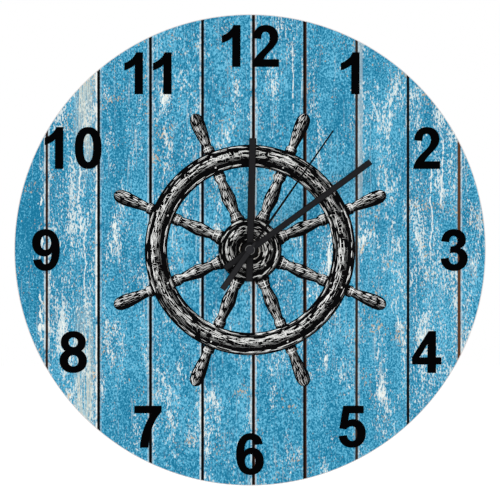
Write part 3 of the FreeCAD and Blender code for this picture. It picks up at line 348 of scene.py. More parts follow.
def make_mottle() -> Group:
    """Soft cloudy change of a colour with fine specks, for plastics, rubber, paint and ink.

    Returns:
        The group.
    """
    first = {"Colour": (0.5, 0.5, 0.5), "Depth": 0.2, "Cell": 900.0, "Gloss": 0.5, "Gloss Spread": 0.08}
    group = Group("mottle", first, SURFACE_OUTPUTS)
    bench = group.bench
    place, colour, depth, cell, gloss, gloss_spread = group.entries()
    fine = bench.noise(place, cell, detail=3.0, roughness=0.6)
    broad = bench.cloud(place, 60.0, detail=4.0)
    change = (fine * 0.55 + broad * 0.45 - 0.5) * depth
    rough = bench.sum("ADD", gloss, (broad - 0.5) * gloss_spread * 2.0, clamp=True)
    group.send(Colour=bench.scale(colour, 1.0 + change * 2.0), Roughness=rough, Height=fine)
    return group


def make_brushing() -> Group:
    """Fine straight marks of a drawn or ground metal, with faint handling stains.

    Returns:
        The group.
    """
    first = {"Colour": (0.6, 0.6, 0.6), "Stain": (0.4, 0.38, 0.35), "Line": 2500.0, "Gloss": 0.3,
             "Wear": 0.3}
    group = Group("brushing", first, SURFACE_OUTPUTS)
    bench = group.bench
    place, clean, stained, line, gloss, wear = group.entries()
    lines = bench.noise(place, line, roughness=0.7)
    share = bench.between(bench.cloud(place, 120.0, detail=5.0, roughness=0.65), 0.45, 0.72) * wear
    colour = bench.scale(bench.blend(share, clean, stained), 0.88 + lines * 0.24)
    group.send(Colour=colour, Roughness=gloss + (share + lines) * 0.12, Height=lines)
    return group


def make_turned_rings() -> Group:
    """Fine rings about the hand arbor, as a lathe leaves on a face.

    The height is a sine of the distance from the arbor, with one wave for each pitch.

    Returns:
        The group.
    """
    group = Group("turned rings", {"Pitch": 0.00012}, {"Height": Kind.NUMBER})
    bench = group.bench
    place, pitch = group.entries()
    one_turn = 6.2832
    flat = bench.vector("MULTIPLY", {0: place, 1: (1.0, 0.0, 1.0)})
    radius = bench.vector("LENGTH", {0: flat}, "Value")
    group.send(Height=0.5 + bench.sum("SINE", radius / pitch * one_turn) * 0.5)
    return group


def make_fibres() -> Group:
    """Pressed wood fibre: short matted strands with darker flecks.

    Returns:
        The group.
    """
    group = Group("fibres", {"Light": (0.5, 0.36, 0.23), "Dark": (0.3, 0.2, 0.12)},
                  {"Colour": Kind.COLOUR, "Height": Kind.NUMBER})
    bench = group.bench
    place, light, dark = group.entries()
    pull = bench.scale(bench.noise(place, 250.0, output="Color"), 0.004)
    bent = bench.vector("ADD", {0: place, 1: pull})
    flat = bench.cloud(bent, 900.0, detail=3.0, roughness=0.7, stretch=(0.35, 1.0, 1.0))
    tall = bench.cloud(bent, 900.0, detail=3.0, roughness=0.7, stretch=(1.0, 1.0, 0.35),
                       shift=(4.0, 0.0, 2.0))
    mat = (flat + tall) * 0.5
    fleck = bench.between(bench.cloud(place, 1300.0, detail=1.0, shift=(1.0, 5.0, 0.0)), 0.66, 0.74)
    share = bench.sum("ADD", bench.between(mat, 0.36, 0.64), fleck * 0.5, clamp=True)
    group.send(Colour=bench.blend(share, light, dark), Height=mat)
    return group


def make_boards() -> Group:
    """Upright boards: the board and the nearest gap, counted to the right, and how far right of that gap.

    Returns:
        The group.
    """
    group = Group("boards", {"Pitch": 33.27, "First Gap": 2.26},
                  {"Board": Kind.NUMBER, "Gap": Kind.NUMBER, "From Gap": Kind.NUMBER})
    bench = group.bench
    place, pitch, first_gap = group.entries()
    across = bench.across_and_up(place)[0]
    sway = (bench.cloud(place, 0.05, stretch=(0.2, 1.0, 1.0)) - 0.5) * 0.2
    count = (across + sway - first_gap) / pitch
    nearest = bench.sum("ROUND", count)
    group.send(Board=bench.sum("FLOOR", count), Gap=nearest, From_Gap=(count - nearest) * pitch)
    return group


def make_old_paint() -> Group:
    """Weathered paint on a board: mottled blues, pale flecks, and chips down to the white ground.

    Fade sets how far the paint is lightened by fine flecks, and Worn adds chips and flecks in one place.
    Each board reads its own part of the noise.

    Returns:
        The group.
    """
    first = {"Board": 0.0, "Fade": 0.3, "Worn": 0.0,
             "Deep": from_screen(24, 118, 156), "Base": from_screen(56, 143, 178),
             "Light": from_screen(80, 166, 200), "Sky": from_screen(108, 190, 222),
             "Ground": from_screen(236, 244, 240), "Rust": from_screen(224, 184, 128)}
    group = Group("old paint", first, {"Colour": Kind.COLOUR})
    bench = group.bench
    place, board, fade, worn, deep, base, light, sky, ground, rust_colour = group.entries()
    jump = bench.out("ShaderNodeCombineXYZ", {1: board * 37.0, 2: board * 211.0})
    place = bench.vector("ADD", {0: place, 1: jump})

    broad = bench.cloud(place, 0.05, detail=5.0, roughness=0.68, stretch=(1.0, 1.0, 0.4))
    streak = bench.cloud(place, 0.8, detail=3.0, roughness=0.7, stretch=(1.0, 1.0, 0.12),
                         shift=(3.0, 0.0, 9.0))
    grain = bench.cloud(place, 1.05, detail=1.0, roughness=0.7, stretch=(1.0, 1.0, 0.72),
                        shift=(8.0, 1.0, 2.0))
    calm = bench.sum("MINIMUM", fade, 0.0) * 0.04
    tone = broad * 0.26 + streak * 0.18 + grain * 0.56 + calm
    paint = bench.blend(bench.between(tone, 0.44, 0.485), deep, base)
    paint = bench.blend(bench.between(tone, 0.50, 0.53), paint, light)
    paint = bench.blend(bench.between(tone, 0.54, 0.58), paint, sky)

    cluster = bench.cloud(place, 0.085, detail=4.0, roughness=0.68, stretch=(1.3, 1.0, 0.36),
                          shift=(20.0, 3.0, 7.0))
    lift = (cluster - 0.5) * 1.25
    fine = bench.cloud(place, 1.1, roughness=0.6, stretch=(1.0, 1.0, 0.44), shift=(2.0, 9.0, 4.0))
    fleck_bar = 0.65 - fade * 0.09 - (lift * 0.65 + worn * 0.12)
    flecks = bench.between(fine, fleck_bar, fleck_bar + 0.1) * 0.74
    coarse = bench.cloud(place, 0.95, detail=3.0, roughness=0.65, stretch=(1.0, 1.0, 0.26),
                         shift=(5.0, 7.0, 1.0))
    chip_bar = 0.73 - fade * 0.02 - (lift * 0.85 + worn * 0.14)
    chips = bench.between(coarse, chip_bar, chip_bar + 0.05)
    thin = bench.cloud(place, 0.5, detail=3.0, stretch=(1.6, 1.0, 0.06), shift=(9.0, 2.0, 3.0))
    haze = bench.between(thin, 0.60, 0.72) * bench.sum("MULTIPLY_ADD", lift, 1.6, 0.24)
    bare = bench.largest(flecks, chips, haze)

    rust_field = bench.cloud(place, 0.06, shift=(40.0, 6.0, 11.0))
    rust_spot = bench.cloud(place, 0.85, roughness=0.6, stretch=(1.0, 1.0, 0.6), shift=(1.0, 3.0, 30.0))
    rust_bar = 0.99 - rust_field * 0.62
    rust = bench.between(rust_spot, rust_bar, rust_bar + 0.06)
    group.send(Colour=bench.blend(rust * 0.6, bench.blend(bare, paint, ground), rust_colour))
    return group


def make_patch() -> Group:
    """A soft upright oval: 1 inside, falling smoothly to 0 round its edge.

    Returns:
        The group.
    """
    first = {"Middle X": 0.0, "Middle Z": 0.0, "Half Width": 8.0, "Half Height": 20.0}
    group = Group("patch", first, MASK_OUTPUT)
    place, middle_x, middle_z, half_width, half_height = group.entries()
    x, z = group.bench.across_and_up(place)
    across, up = (x - middle_x) / half_width, (z - middle_z) / half_height
    group.send(Mask=group.bench.between(across * across + up * up, 1.5, 0.2))
    return group


def make_scratch() -> Group:
    """One long upright scratch: a wavering line whose width comes and goes.

    Returns:
        The group.
    """
    first = {"Line": 0.0, "Middle": 0.0, "Reach": 40.0, "Width": 0.5, "Waver": 4.0}
    group = Group("scratch", first, MASK_OUTPUT)
    bench = group.bench
    place, line, middle, reach, full_width, waver = group.entries()
    x, z = bench.across_and_up(place)
    drift = bench.cloud(place, 0.05, detail=3.0, roughness=0.6, stretch=(0.0, 0.0, 1.0),
                        shift=(7.0, 0.0, 0.0))
    away = abs(x - (line + (drift - 0.5) * waver))
    breaks = bench.cloud(place, 0.35, detail=3.0, roughness=0.7, stretch=(0.6, 0.0, 1.0),
                         shift=(1.0, 0.0, 5.0))
    width = bench.between(breaks, 0.36, 0.62) * full_width
    inside = bench.between(away, width + 0.25, width * 0.6)
    along = bench.between(abs(z - middle), reach, reach * 0.7)
    group.send(Mask=inside * along * bench.between(width, 0.02, 0.08))
    return group


@dataclass
class GroupShelf:
    """The node groups, each built once."""

    mottle: Group = field(default_factory=make_mottle)
    brushing: Group = field(default_factory=make_brushing)
    rings: Group = field(default_factory=make_turned_rings)
    fibres: Group = field(default_factory=make_fibres)
    boards: Group = field(default_factory=make_boards)
    paint: Group = field(default_factory=make_old_paint)
    scratch: Group = field(default_factory=make_scratch)
    patch: Group = field(default_factory=make_patch)


@dataclass
class Surface:
    """A new material with a Principled BSDF, and the object coordinates that it reads."""

    name: str
    material: bpy.types.Material = field(init=False)
    bench: Bench = field(init=False)
    shader: bpy.types.Node = field(init=False)
    metres: Wire = field(init=False)

    def __post_init__(self) -> None:
        """Makes the material and its first nodes."""
        self.material = bpy.data.materials.new(self.name)
        self.material.use_nodes = True
        self.bench = Bench(self.material.node_tree)
        self.bench.tree.nodes.clear()
        self.shader = self.bench.put("ShaderNodeBsdfPrincipled")
        self.bench.put("ShaderNodeOutputMaterial", {"Surface": Wire(self.bench, self.shader.outputs[0])})
        self.metres = self.bench.out("ShaderNodeTexCoord", output="Object")

    def millimetres(self) -> Wire:
        """The object coordinates in millimetres."""
        return self.bench.scale(self.metres, 1.0 / METRES)

    def finish(self, colour: object, roughness: object, height: Wire, relief: float = FINE_RELIEF,
               specular: float = 0.5, metallic: float = 0.0) -> bpy.types.Material:
        """Feeds the shader.

        Args:
            colour: its base colour.
            roughness: its roughness.
            height: its relief, from 0 to 1.
            relief: how high a height of 1 stands, in metres.
            specular: its specular level.
            metallic: 1 for a metal.

        Returns:
            The finished material.
        """
        bump = self.bench.out("ShaderNodeBump", {"Height": height, "Distance": relief})
        self.bench.fill(self.shader, {"Base Color": colour, "Roughness": roughness, "Normal": bump,
                                      "Specular IOR Level": specular, "Metallic": metallic})
        return self.material


@dataclass(frozen=True)
class MouldedFinish:
    """Plastic, rubber, resin, paint or ink: a mottled colour with a fine surface texture."""

    name: str
    colour: Colour
    gloss: float = 0.45
    gloss_spread: float = 0.08
    depth: float = 0.25
    cell: float = 1500.0
    relief: float = 0.00003
    specular: float = 0.5

    def tint(self, surface: Surface) -> object:
        """The colour before it is mottled."""
        return self.colour

    def make(self, shelf: GroupShelf) -> bpy.types.Material:
        """Builds the material.

        Args:
            shelf: the node groups.

        Returns:
            The material.
        """
        surface = Surface(self.name)
        look = shelf.mottle.place_in(surface.bench, surface.metres, Colour=self.tint(surface),
                                     Depth=self.depth, Cell=self.cell, Gloss=self.gloss,
                                     Gloss_Spread=self.gloss_spread)
        return surface.finish(look["Colour"], look["Roughness"], look["Height"], self.relief, self.specular)


@dataclass(frozen=True)
class HandFinish(MouldedFinish):
    """Black lacquer of a hand: greyer on the flat face, with painted shade that darkens it to black along the
    edges, and black on a needle.

    The angle is the hand's at rest, in degrees past twelve. Distances are in millimetres.
    """

    colour: Colour = from_screen(28, 28, 30)
    gloss: float = 0.5
    depth: float = 0.3
    cell: float = 2600.0
    relief: float = FINE_RELIEF
    specular: float = 0.06
    # painted shade: the near-black that the face darkens to along its edges, also laid on the needle
    edge: Colour = from_screen(4, 4, 5)
    edge_band: float = 0.8
    angle: float = 0.0
    half_width: float = 2.0
    needle_start: float = 400.0
    needle_blend: float = 6.0

    def tint(self, surface: Surface) -> Wire:
        """The face's colour, darkened to the edge colour by painted shade near the hand's sides, and the edge
        colour beyond the start of its needle.

        Args:
            surface: the material in hand.

        Returns:
            The colour.
        """
        bench = surface.bench
        x, z = bench.across_and_up(surface.millimetres())
        sine, cosine = math.sin(math.radians(self.angle)), math.cos(math.radians(self.angle))
        across, along = x * cosine - z * sine, x * sine + z * cosine
        # painted shade: a band along each side of the hand darkens towards the edge
        side = bench.between(abs(across), self.half_width - self.edge_band, self.half_width)
        needle = bench.between(along, self.needle_start, self.needle_start + self.needle_blend)
        return bench.blend(bench.largest(side, needle), self.colour, self.edge)


@dataclass(frozen=True)
class CellJacketFinish(MouldedFinish):
    """The cell's shrink film: dark green with a copper band at its positive end and a pale line between."""

    name: str = "cell_jacket"
    colour: Colour = from_screen(30, 92, 60)
    gloss: float = 0.24
    gloss_spread: float = 0.06
    depth: float = 0.12
    cell: float = 700.0
    relief: float = FINE_RELIEF
    band: Colour = from_screen(206, 128, 74)
    line: Colour = from_screen(232, 226, 210)
    band_start: float = 13.0
    line_half: float = 0.35
    blur: float = 0.05

    def tint(self, surface: Surface) -> Wire:
        """The film's colour, the band's to the right of its start, and the line's between them.

        Args:
            surface: the material in hand.

        Returns:
            The colour.
        """
        bench, start = surface.bench, self.band_start
        along = bench.across_and_up(surface.millimetres())[0]
        on_band = bench.between(along, start - self.blur, start + self.blur)
        colour = bench.blend(on_band, self.colour, self.band)
        on_line = bench.between(abs(along - start), self.line_half + self.blur, self.line_half)
        return bench.blend(on_line, colour, self.line)


@dataclass(frozen=True)
class MetalFinish:
    """Drawn, turned or plated metal."""

    name: str
    colour: Colour
    stain: Colour = grey(120)
    gloss: float = 0.28
    wear: float = 0.3
    line: float = 2500.0
    grain: Grain = Grain.EVEN
    turned: bool = False

    def make(self, shelf: GroupShelf) -> bpy.types.Material:
        """Builds the material.

        Args:
            shelf: the node groups.

        Returns:
            The material.
        """
        surface = Surface(self.name)
        bench = surface.bench
        drawn = bench.out("ShaderNodeMapping", {"Vector": surface.metres, "Scale": self.grain.value})
        look = shelf.brushing.place_in(bench, drawn, Colour=self.colour, Stain=self.stain, Line=self.line,
                                       Gloss=self.gloss, Wear=self.wear)
        height = shelf.rings.place_in(bench, surface.metres)["Height"] if self.turned else look["Height"]
        return surface.finish(look["Colour"], look["Roughness"], height, metallic=1.0)


@dataclass(frozen=True)
class FibreFinish:
    """Raw pressed fibreboard."""

    name: str = "board_fibre"
    light: Colour = from_screen(184, 152, 112)
    dark: Colour = from_screen(152, 120, 84)
    roughness: float = 0.85
    relief: float = 0.00008
    specular: float = 0.3

    def make(self, shelf: GroupShelf) -> bpy.types.Material:
        """Builds the material.

        Args:
            shelf: the node groups.

        Returns:
            The material.
        """
        surface = Surface(self.name)
        look = shelf.fibres.place_in(surface.bench, surface.metres, Light=self.light, Dark=self.dark)
        return surface.finish(look["Colour"], self.roughness, look["Height"], self.relief, self.specular)


@dataclass(frozen=True)
class Scratch:
    """A long pale scratch on the planks, with its line's x, its middle's z and its reach up and down."""

    line: float
    middle: float
    reach: float
    width: float
    waver: float


@dataclass(frozen=True)
class WornPatch:
    """A place where the planks are worn more, or less where the strength is negative."""

    x: float
    z: float
    half_width: float
    half_height: float
    strength: float


@dataclass(frozen=True)
class PlankFinish:
    """The printed planks: nine gaps, each with its own width, colour and pale edges.

    Gaps and boards are counted to the right. Each row of values starts at the leftmost one. A span is where
    a mask starts to rise and where it is full.
    """

    name: str = "plank_print"
    first_gap: int = -4
    gap_colours: tuple[Colour, ...] = (
        from_screen(44, 26, 18), from_screen(5, 4, 5), from_screen(4, 4, 5), from_screen(4, 3, 4),
        from_screen(12, 6, 4), from_screen(14, 7, 5), from_screen(50, 38, 31), from_screen(8, 6, 6),
        from_screen(88, 56, 38))
    gap_shifts: tuple[float, ...] = (-0.42, -0.22, 0.0, 0.36, 0.0, -0.1, 0.05, 0.0, -0.29)
    gap_halves: tuple[float, ...] = (0.78, 0.92, 0.95, 0.92, 1.00, 1.15, 0.85, 0.84, 0.98)
    pale_left: tuple[float, ...] = (0.6, 1.0, 0.3, 0.6, 0.5, 0.08, 0.1, 0.06, 0.1)
    pale_right: tuple[float, ...] = (0.45, 0.2, 0.28, 0.12, 0.5, 0.08, 0.3, 0.06, 0.4)
    first_board: int = -5
    fade: tuple[float, ...] = (-1.0, 1.2, 0.22, 0.4, 0.25, 0.35, 0.12, 0.6, 1.1, 0.88)
    patches: tuple[WornPatch, ...] = tuple(WornPatch(*row) for row in (
        (-52.0, 97.0, 9.0, 30.0, 0.6), (-44.0, 60.0, 10.0, 22.0, 0.35), (-112.0, 20.0, 7.0, 26.0, 0.4),
        (-108.0, -98.0, 8.0, 34.0, 0.3), (-84.0, 10.0, 11.0, 29.0, 0.78), (-24.0, 64.0, 6.0, 14.0, 0.65),
        (53.0, 0.0, 13.0, 32.0, 0.45), (104.0, 106.0, 8.0, 14.0, 0.1), (121.0, 86.0, 6.0, 14.0, 0.3),
        (128.0, 56.0, 9.0, 16.0, -0.5), (-54.0, -101.0, 10.0, 24.0, 0.85), (-26.0, -110.0, 8.0, 22.0, 1.2),
        (86.0, -108.0, 9.0, 20.0, 0.95), (-142.0, -56.0, 6.0, 16.0, 0.9), (14.0, 118.0, 6.0, 20.0, 0.4),
        (-72.0, -60.0, 6.0, 20.0, 0.5), (117.0, -62.0, 12.0, 28.0, 0.55), (-114.0, -52.0, 12.0, 18.0, 0.5),
        (-143.0, -31.0, 8.0, 4.5, 0.9), (-42.0, 118.0, 7.0, 16.0, 0.4), (-134.3, 0.0, 3.0, 62.0, 1.4),
        (-99.0, 10.0, 14.0, 13.0, -0.5), (73.0, 50.0, 12.0, 34.0, -0.5), (85.0, 94.0, 10.0, 18.0, 0.5),
        (97.0, -34.0, 5.0, 34.0, 0.3), (137.0, -62.0, 6.0, 14.0, 1.0), (142.0, -22.0, 5.0, 16.0, 0.85),
        (-86.0, -58.0, 10.0, 16.0, 1.0), (-28.0, -122.0, 9.0, 14.0, 0.45), (36.0, 84.0, 14.0, 22.0, -0.3)))
    scratches: tuple[Scratch, ...] = tuple(Scratch(*row) for row in (
        (117.0, 26.0, 34.0, 0.55, 9.0), (-110.0, 38.0, 34.0, 0.75, 12.0), (-106.5, -8.0, 26.0, 0.45, 9.0),
        (124.0, 50.0, 26.0, 0.6, 10.0), (28.0, 112.0, 24.0, 0.4, 4.0)))
    scratch_share: float = 0.9
    cream: Colour = from_screen(226, 224, 206)
    cream_left: float = 107.0
    cream_up: float = 6.0
    cream_across: Span = (8.5, 2.0)
    cream_along: Span = (30.0, 74.0)
    cream_lines: Span = (0.40, 0.58)
    cream_share: float = 0.68
    rubbed: Colour = from_screen(168, 188, 196)
    rubbed_right: float = 71.2
    rubbed_across: Span = (2.0, 1.1)
    rubbed_along: Span = (20.0, 44.0)
    rubbed_share: float = 0.6
    jag: float = 0.35
    gap_outside: float = 0.22
    gap_inside: float = 0.18
    pale: Colour = from_screen(238, 243, 240)
    pale_start: float = 0.35
    pale_reach: float = 1.1
    pale_blur: float = 0.25
    pale_where: Span = (0.34, 0.52)
    brown: Colour = from_screen(84, 50, 34)
    brown_right: Span = (0.35, 0.75)
    roughness: float = 0.42
    roughness_spread: float = 0.16
    film_cell: float = 1800.0
    specular: float = 0.03

    def worn_paint(self, bench: Bench, shelf: GroupShelf, place: Wire, board: Wire) -> Wire:
        """The paint, more worn where the patches are.

        Args:
            bench: the material's bench.
            shelf: the node groups.
            place: the place in millimetres.
            board: the number of the board there.

        Returns:
            The colour.
        """
        worn = 0.0
        for patch in self.patches:
            oval_here = shelf.patch.place_in(bench, place, Middle_X=patch.x, Middle_Z=patch.z,
                                             Half_Width=patch.half_width, Half_Height=patch.half_height)
            worn = bench.sum("MULTIPLY_ADD", oval_here["Mask"], patch.strength, worn)
        fade = bench.signed_lookup(board, self.first_board, self.fade)
        return shelf.paint.place_in(bench, place, Board=board, Fade=fade, Worn=worn)["Colour"]

    def marked(self, bench: Bench, shelf: GroupShelf, place: Wire, colour: Wire) -> Wire:
        """Adds an upright band of cream streaks, a rubbed strip beside a gap, and the scratches.

        Args:
            bench: the material's bench.
            shelf: the node groups.
            place: the place in millimetres.
            colour: the paint's colour.

        Returns:
            The colour with them.
        """
        x, z = bench.across_and_up(place)
        lines = bench.cloud(place, 0.9, detail=3.0, roughness=0.7, stretch=(1.0, 1.0, 0.03),
                            shift=(6.0, 0.0, 0.0))
        band = (bench.between(abs(x + self.cream_left), *self.cream_across)
                * bench.between(abs(z - self.cream_up), *self.cream_along))
        streaks = band * bench.between(lines, *self.cream_lines) * self.cream_share
        colour = bench.blend(streaks, colour, self.cream)
        strip = (bench.between(abs(x - self.rubbed_right), *self.rubbed_across)
                 * bench.between(z, *self.rubbed_along))
        colour = bench.blend(strip * self.rubbed_share, colour, self.rubbed)
        for scratch in self.scratches:
            mark = shelf.scratch.place_in(bench, place, Line=scratch.line, Middle=scratch.middle,
                                          Reach=scratch.reach, Width=scratch.width, Waver=scratch.waver)
            colour = bench.blend(mark["Mask"] * self.scratch_share, colour, self.pale)
        return colour

    def parted(self, bench: Bench, place: Wire, boards: dict[str, Wire], colour: Wire) -> Wire:
        """Adds the gaps between the boards, with their pale chipped edges.

        Args:
            bench: the material's bench.
            place: the place in millimetres.
            boards: the outputs of the boards' group.
            colour: the boards' colour.

        Returns:
            The colour with them.
        """
        gap, first = boards["Gap"], self.first_gap
        from_gap = boards["From Gap"] - bench.signed_lookup(gap, first, self.gap_shifts)
        half = bench.lookup(gap, first, self.gap_halves)
        away = abs(from_gap) + (bench.cloud(place, 0.5, detail=3.0) - 0.5) * self.jag
        is_left = bench.sum("LESS_THAN", from_gap, 0.0)
        strength = bench.blend(is_left, bench.lookup(gap, first, self.pale_right),
                               bench.lookup(gap, first, self.pale_left))
        ragged = bench.cloud(place, 0.16, detail=4.0, roughness=0.7, stretch=(0.3, 1.0, 1.0),
                             shift=(4.0, 4.0, 0.0))
        reach = half + self.pale_start + ragged * self.pale_reach
        edge = bench.between(away, reach + self.pale_blur, reach) * bench.between(ragged, *self.pale_where)
        colour = bench.blend(edge * strength, colour, self.pale)
        of_middle_board = bench.largest(*(bench.sum("COMPARE", gap, number, 0.1) for number in (0.0, 1.0)))
        gap_colour = bench.blend(bench.between(from_gap, *self.brown_right) * of_middle_board,
                                 bench.lookup(gap, first, self.gap_colours), self.brown)
        return bench.blend(bench.between(away, half + self.gap_outside, half - self.gap_inside), colour,
                           gap_colour)

    def make(self, shelf: GroupShelf) -> bpy.types.Material:
        """Builds the material.

        Args:
            shelf: the node groups.

        Returns:
            The material.
        """
        surface = Surface(self.name)
        bench, place = surface.bench, surface.millimetres()
        boards = shelf.boards.place_in(bench, place)
        colour = self.worn_paint(bench, shelf, place, boards["Board"])
        colour = self.marked(bench, shelf, place, colour)
        colour = self.parted(bench, place, boards, colour)
        film = bench.cloud(surface.metres, self.film_cell)
        roughness = self.roughness + film * self.roughness_spread
        return surface.finish(colour, roughness, film, specular=self.specular)


@dataclass
class Finishes:
    """Every finish of the clock, by its record slot, by its piece or by the name of an ink."""

    shelf: GroupShelf = field(default_factory=GroupShelf)
    made: dict[str, bpy.types.Material] = field(default_factory=dict)

    def moulded(self) -> list[MouldedFinish]:
        """Plastics, rubber, resin and paint.

        Returns:
            The finishes.
        """
        return [
            MouldedFinish("cap_black", from_screen(38, 38, 41), gloss=0.4, depth=0.2, cell=2600.0,
                          relief=0.000006, specular=0.08),
            MouldedFinish("gasket_rubber", from_screen(34, 34, 35), gloss=0.8, depth=0.35),
            MouldedFinish("case_plastic", from_screen(30, 30, 32), gloss=0.46, depth=0.3, cell=3200.0,
                          relief=0.00005),
            MouldedFinish("knob_plastic", from_screen(38, 38, 40), gloss=0.36, depth=0.2, cell=2400.0),
            MouldedFinish("plate_plastic", from_screen(226, 223, 214), gloss=0.5, depth=0.1),
            MouldedFinish("wheel_plastic", from_screen(236, 232, 220), gloss=0.3, depth=0.1),
            MouldedFinish("magnet", from_screen(58, 58, 60), gloss=0.55, depth=0.3),
            MouldedFinish("bobbin_plastic", from_screen(210, 200, 170), gloss=0.42, depth=0.15),
            MouldedFinish("circuit_laminate", from_screen(150, 104, 56), gloss=0.42),
            MouldedFinish("chip_resin", from_screen(18, 18, 19), gloss=0.2, depth=0.2),
            MouldedFinish("edge_lacquer", from_screen(224, 217, 216), gloss=0.5, specular=0.2, depth=0.08,
                          cell=1100.0),
            CellJacketFinish(),
        ]

    def hands(self) -> list[HandFinish]:
        """Lacquer of each hand, with painted shade along its edges, named after its piece.

        Returns:
            The finishes.
        """
        return [
            HandFinish("hour_hand", angle=1.45, half_width=2.3),
            HandFinish("minute_hand", angle=53.8),
            HandFinish("second_hand", from_screen(37, 37, 39), angle=34.9, needle_start=3.0),
        ]

    def metals(self) -> list[MetalFinish]:
        """Metals, plated or bare.

        Returns:
            The finishes.
        """
        return [
            MetalFinish("nickel_plate", grey(116), grey(80), gloss=0.3, wear=0.15, turned=True),
            MetalFinish("brass", from_screen(214, 178, 104), from_screen(130, 92, 40), gloss=0.22, wear=0.35,
                        turned=True),
            MetalFinish("hanger_steel", from_screen(198, 200, 202), from_screen(128, 122, 110), gloss=0.3,
                        wear=0.45, line=4000.0, grain=Grain.ALONG_Z),
            MetalFinish("arbor_steel", grey(205), gloss=0.2, wear=0.1),
            MetalFinish("soft_iron", grey(176), gloss=0.4, grain=Grain.ALONG_X),
            MetalFinish("crystal_can", grey(214), gloss=0.25, wear=0.15, grain=Grain.ALONG_Z),
            MetalFinish("contact_strip", from_screen(208, 204, 192), from_screen(150, 132, 96), gloss=0.26,
                        wear=0.35, grain=Grain.ALONG_Z),
            MetalFinish("cell_terminal", grey(210), gloss=0.22, wear=0.25),
            MetalFinish("copper_wire", from_screen(196, 112, 62), from_screen(120, 60, 30), gloss=0.3),
        ]

    def inks(self) -> list[MouldedFinish]:
        """Printed inks, slightly uneven.

        Returns:
            The finishes.
        """
        screens = {f"ink_{Tone.BLACK.value}": (8, 8, 9), f"ink_{Tone.GREY.value}": (138, 139, 138),
                   f"ink_{Tone.WHITE.value}": (244, 245, 243), "numeral_ink": (2, 2, 3)}
        return [MouldedFinish(name, from_screen(*screen), gloss=0.5, gloss_spread=0.05, depth=0.35,
                              cell=1400.0, relief=FINE_RELIEF, specular=0.01)
                for name, screen in screens.items()]

    def build(self) -> None:
        """Makes every material."""
        for finish in (*self.moulded(), *self.hands(), *self.metals(), *self.inks(), FibreFinish(),
                       PlankFinish()):
            self.made[finish.name] = finish.make(self.shelf)
            LOG.info("finish %s", finish.name)


def add_piece(name: str, shape: Mesh, material: bpy.types.Material) -> bpy.types.Object:
    """Makes an object from points in millimetres and lets it ride on the clock's body.

    Args:
        name: the piece's name.
        shape: rows of x, y and z, and the corner numbers of each face.
        material: its finish.

    Returns:
        The new object.
    """
    vertices, faces = shape
    mesh = bpy.data.meshes.new(name)
    mesh.from_pydata((vertices * METRES).tolist(), [], faces)
    mesh.materials.append(material)
    mesh.validate()
    mesh.update()
    thing = bpy.data.objects.new(name, mesh)
    bpy.context.scene.collection.objects.link(thing)
    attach(thing, BODY)
    LOG.info("piece %s: %d faces", name, len(mesh.polygons))
    return thing


def round_sizes(node: str) -> tuple[float, float, float]:
    """Radius, rear depth and front depth of a round node, in millimetres."""
    low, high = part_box(node)
    return (high[0] - low[0]) / 2 / METRES, -high[1] / METRES, -low[1] / METRES


def lathe(profile: Array) -> Mesh:
    """Surface of a closed profile carried round the hand arbor.

    A point at turn t and profile place (radius, depth) is (radius cos t, -depth, radius sin t). The profile
    runs so that the faces point outwards: outwards along the back and inwards along the front.

    Args:
        profile: rows of radius and depth, closed from the last row to the first.

    Returns:
        The vertices, and the faces step by step round the arbor.
    """
    turn = np.linspace(0.0, FULL_TURN, LATHE_STEPS, endpoint=False)[:, None]
    radius, depth = profile[:, 0][None, :], profile[:, 1][None, :]
    x, z = radius * np.cos(turn), radius * np.sin(turn)
    vertices = np.stack([x, np.broadcast_to(-depth, x.shape), z], axis=-1).reshape(-1, 3)
    count = len(profile)
    step, place = np.meshgrid(np.arange(LATHE_STEPS), np.arange(count), indexing="ij")
    next_step, next_place = (step + 1) % LATHE_STEPS, (place + 1) % count
    corners = [step * count + place, step * count + next_place,
               next_step * count + next_place, next_step * count + place]
    return vertices, np.stack(corners, axis=-1).reshape(-1, 4).tolist()


@dataclass
class DialBoard:
    """The fibreboard and the printed film on its front."""

    bore_radius: float = 4.15
    edge_round: float = 0.6
    edge_steps: int = 6
    rear_bevel: float = 0.15
    lacquer_turn_in: float = 0.9
    film_rear_bevel: float = 0.05
    film_front_bevel: float = 0.06

    def board_profile(self) -> Array:
        """Section of the board: flat back, straight edge and a quarter circle at the front edge.

        Returns:
            Rows of radius and depth.
        """
        radius, rear, front = round_sizes(BOARD_NODE)
        quarter = np.linspace(0.0, np.pi / 2, self.edge_steps)
        round_edge = np.stack([radius - self.edge_round + self.edge_round * np.cos(quarter),
                               front - self.edge_round + self.edge_round * np.sin(quarter)], axis=1)
        back = [[self.bore_radius, rear], [radius - self.lacquer_turn_in, rear],
                [radius - self.rear_bevel, rear], [radius, rear + self.rear_bevel]]
        return np.vstack([back, round_edge, [[self.bore_radius, front]]])

    def film_profile(self) -> Array:
        """Section of the film, with a narrow bevel at each edge.

        Returns:
            Rows of radius and depth.
        """
        radius, rear, front = round_sizes(PRINT_NODE)
        return np.array([[self.bore_radius, rear], [radius - self.film_rear_bevel, rear],
                         [radius, rear + self.film_rear_bevel], [radius, front - self.film_front_bevel],
                         [radius - self.film_front_bevel, front], [self.bore_radius, front]])

    def build(self, finishes: Finishes) -> None:
        """Makes the board, lacquered but for the face between the first two rows, and its film.

        Args:
            finishes: the finishes.
        """
        profile = self.board_profile()
        board = add_piece("printed_board", lathe(profile), finishes.made["edge_lacquer"])
        board.data.materials.append(finishes.made["board_fibre"])
        is_back = np.tile(np.arange(len(profile)) == 0, LATHE_STEPS)
        board.data.polygons.foreach_set("material_index", is_back.astype(np.int32))
        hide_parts(BOARD_NODE)
        film = add_piece("face_film", lathe(self.film_profile()), finishes.made["plank_print"])
        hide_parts(PRINT_NODE)


def turning_area(outline: Array) -> float:
    """Area inside a closed outline, negative where it runs clockwise."""
    following = np.roll(outline, -1, axis=0)
    return float(np.sum(outline[:, 0] * following[:, 1] - following[:, 0] * outline[:, 1]) / 2)


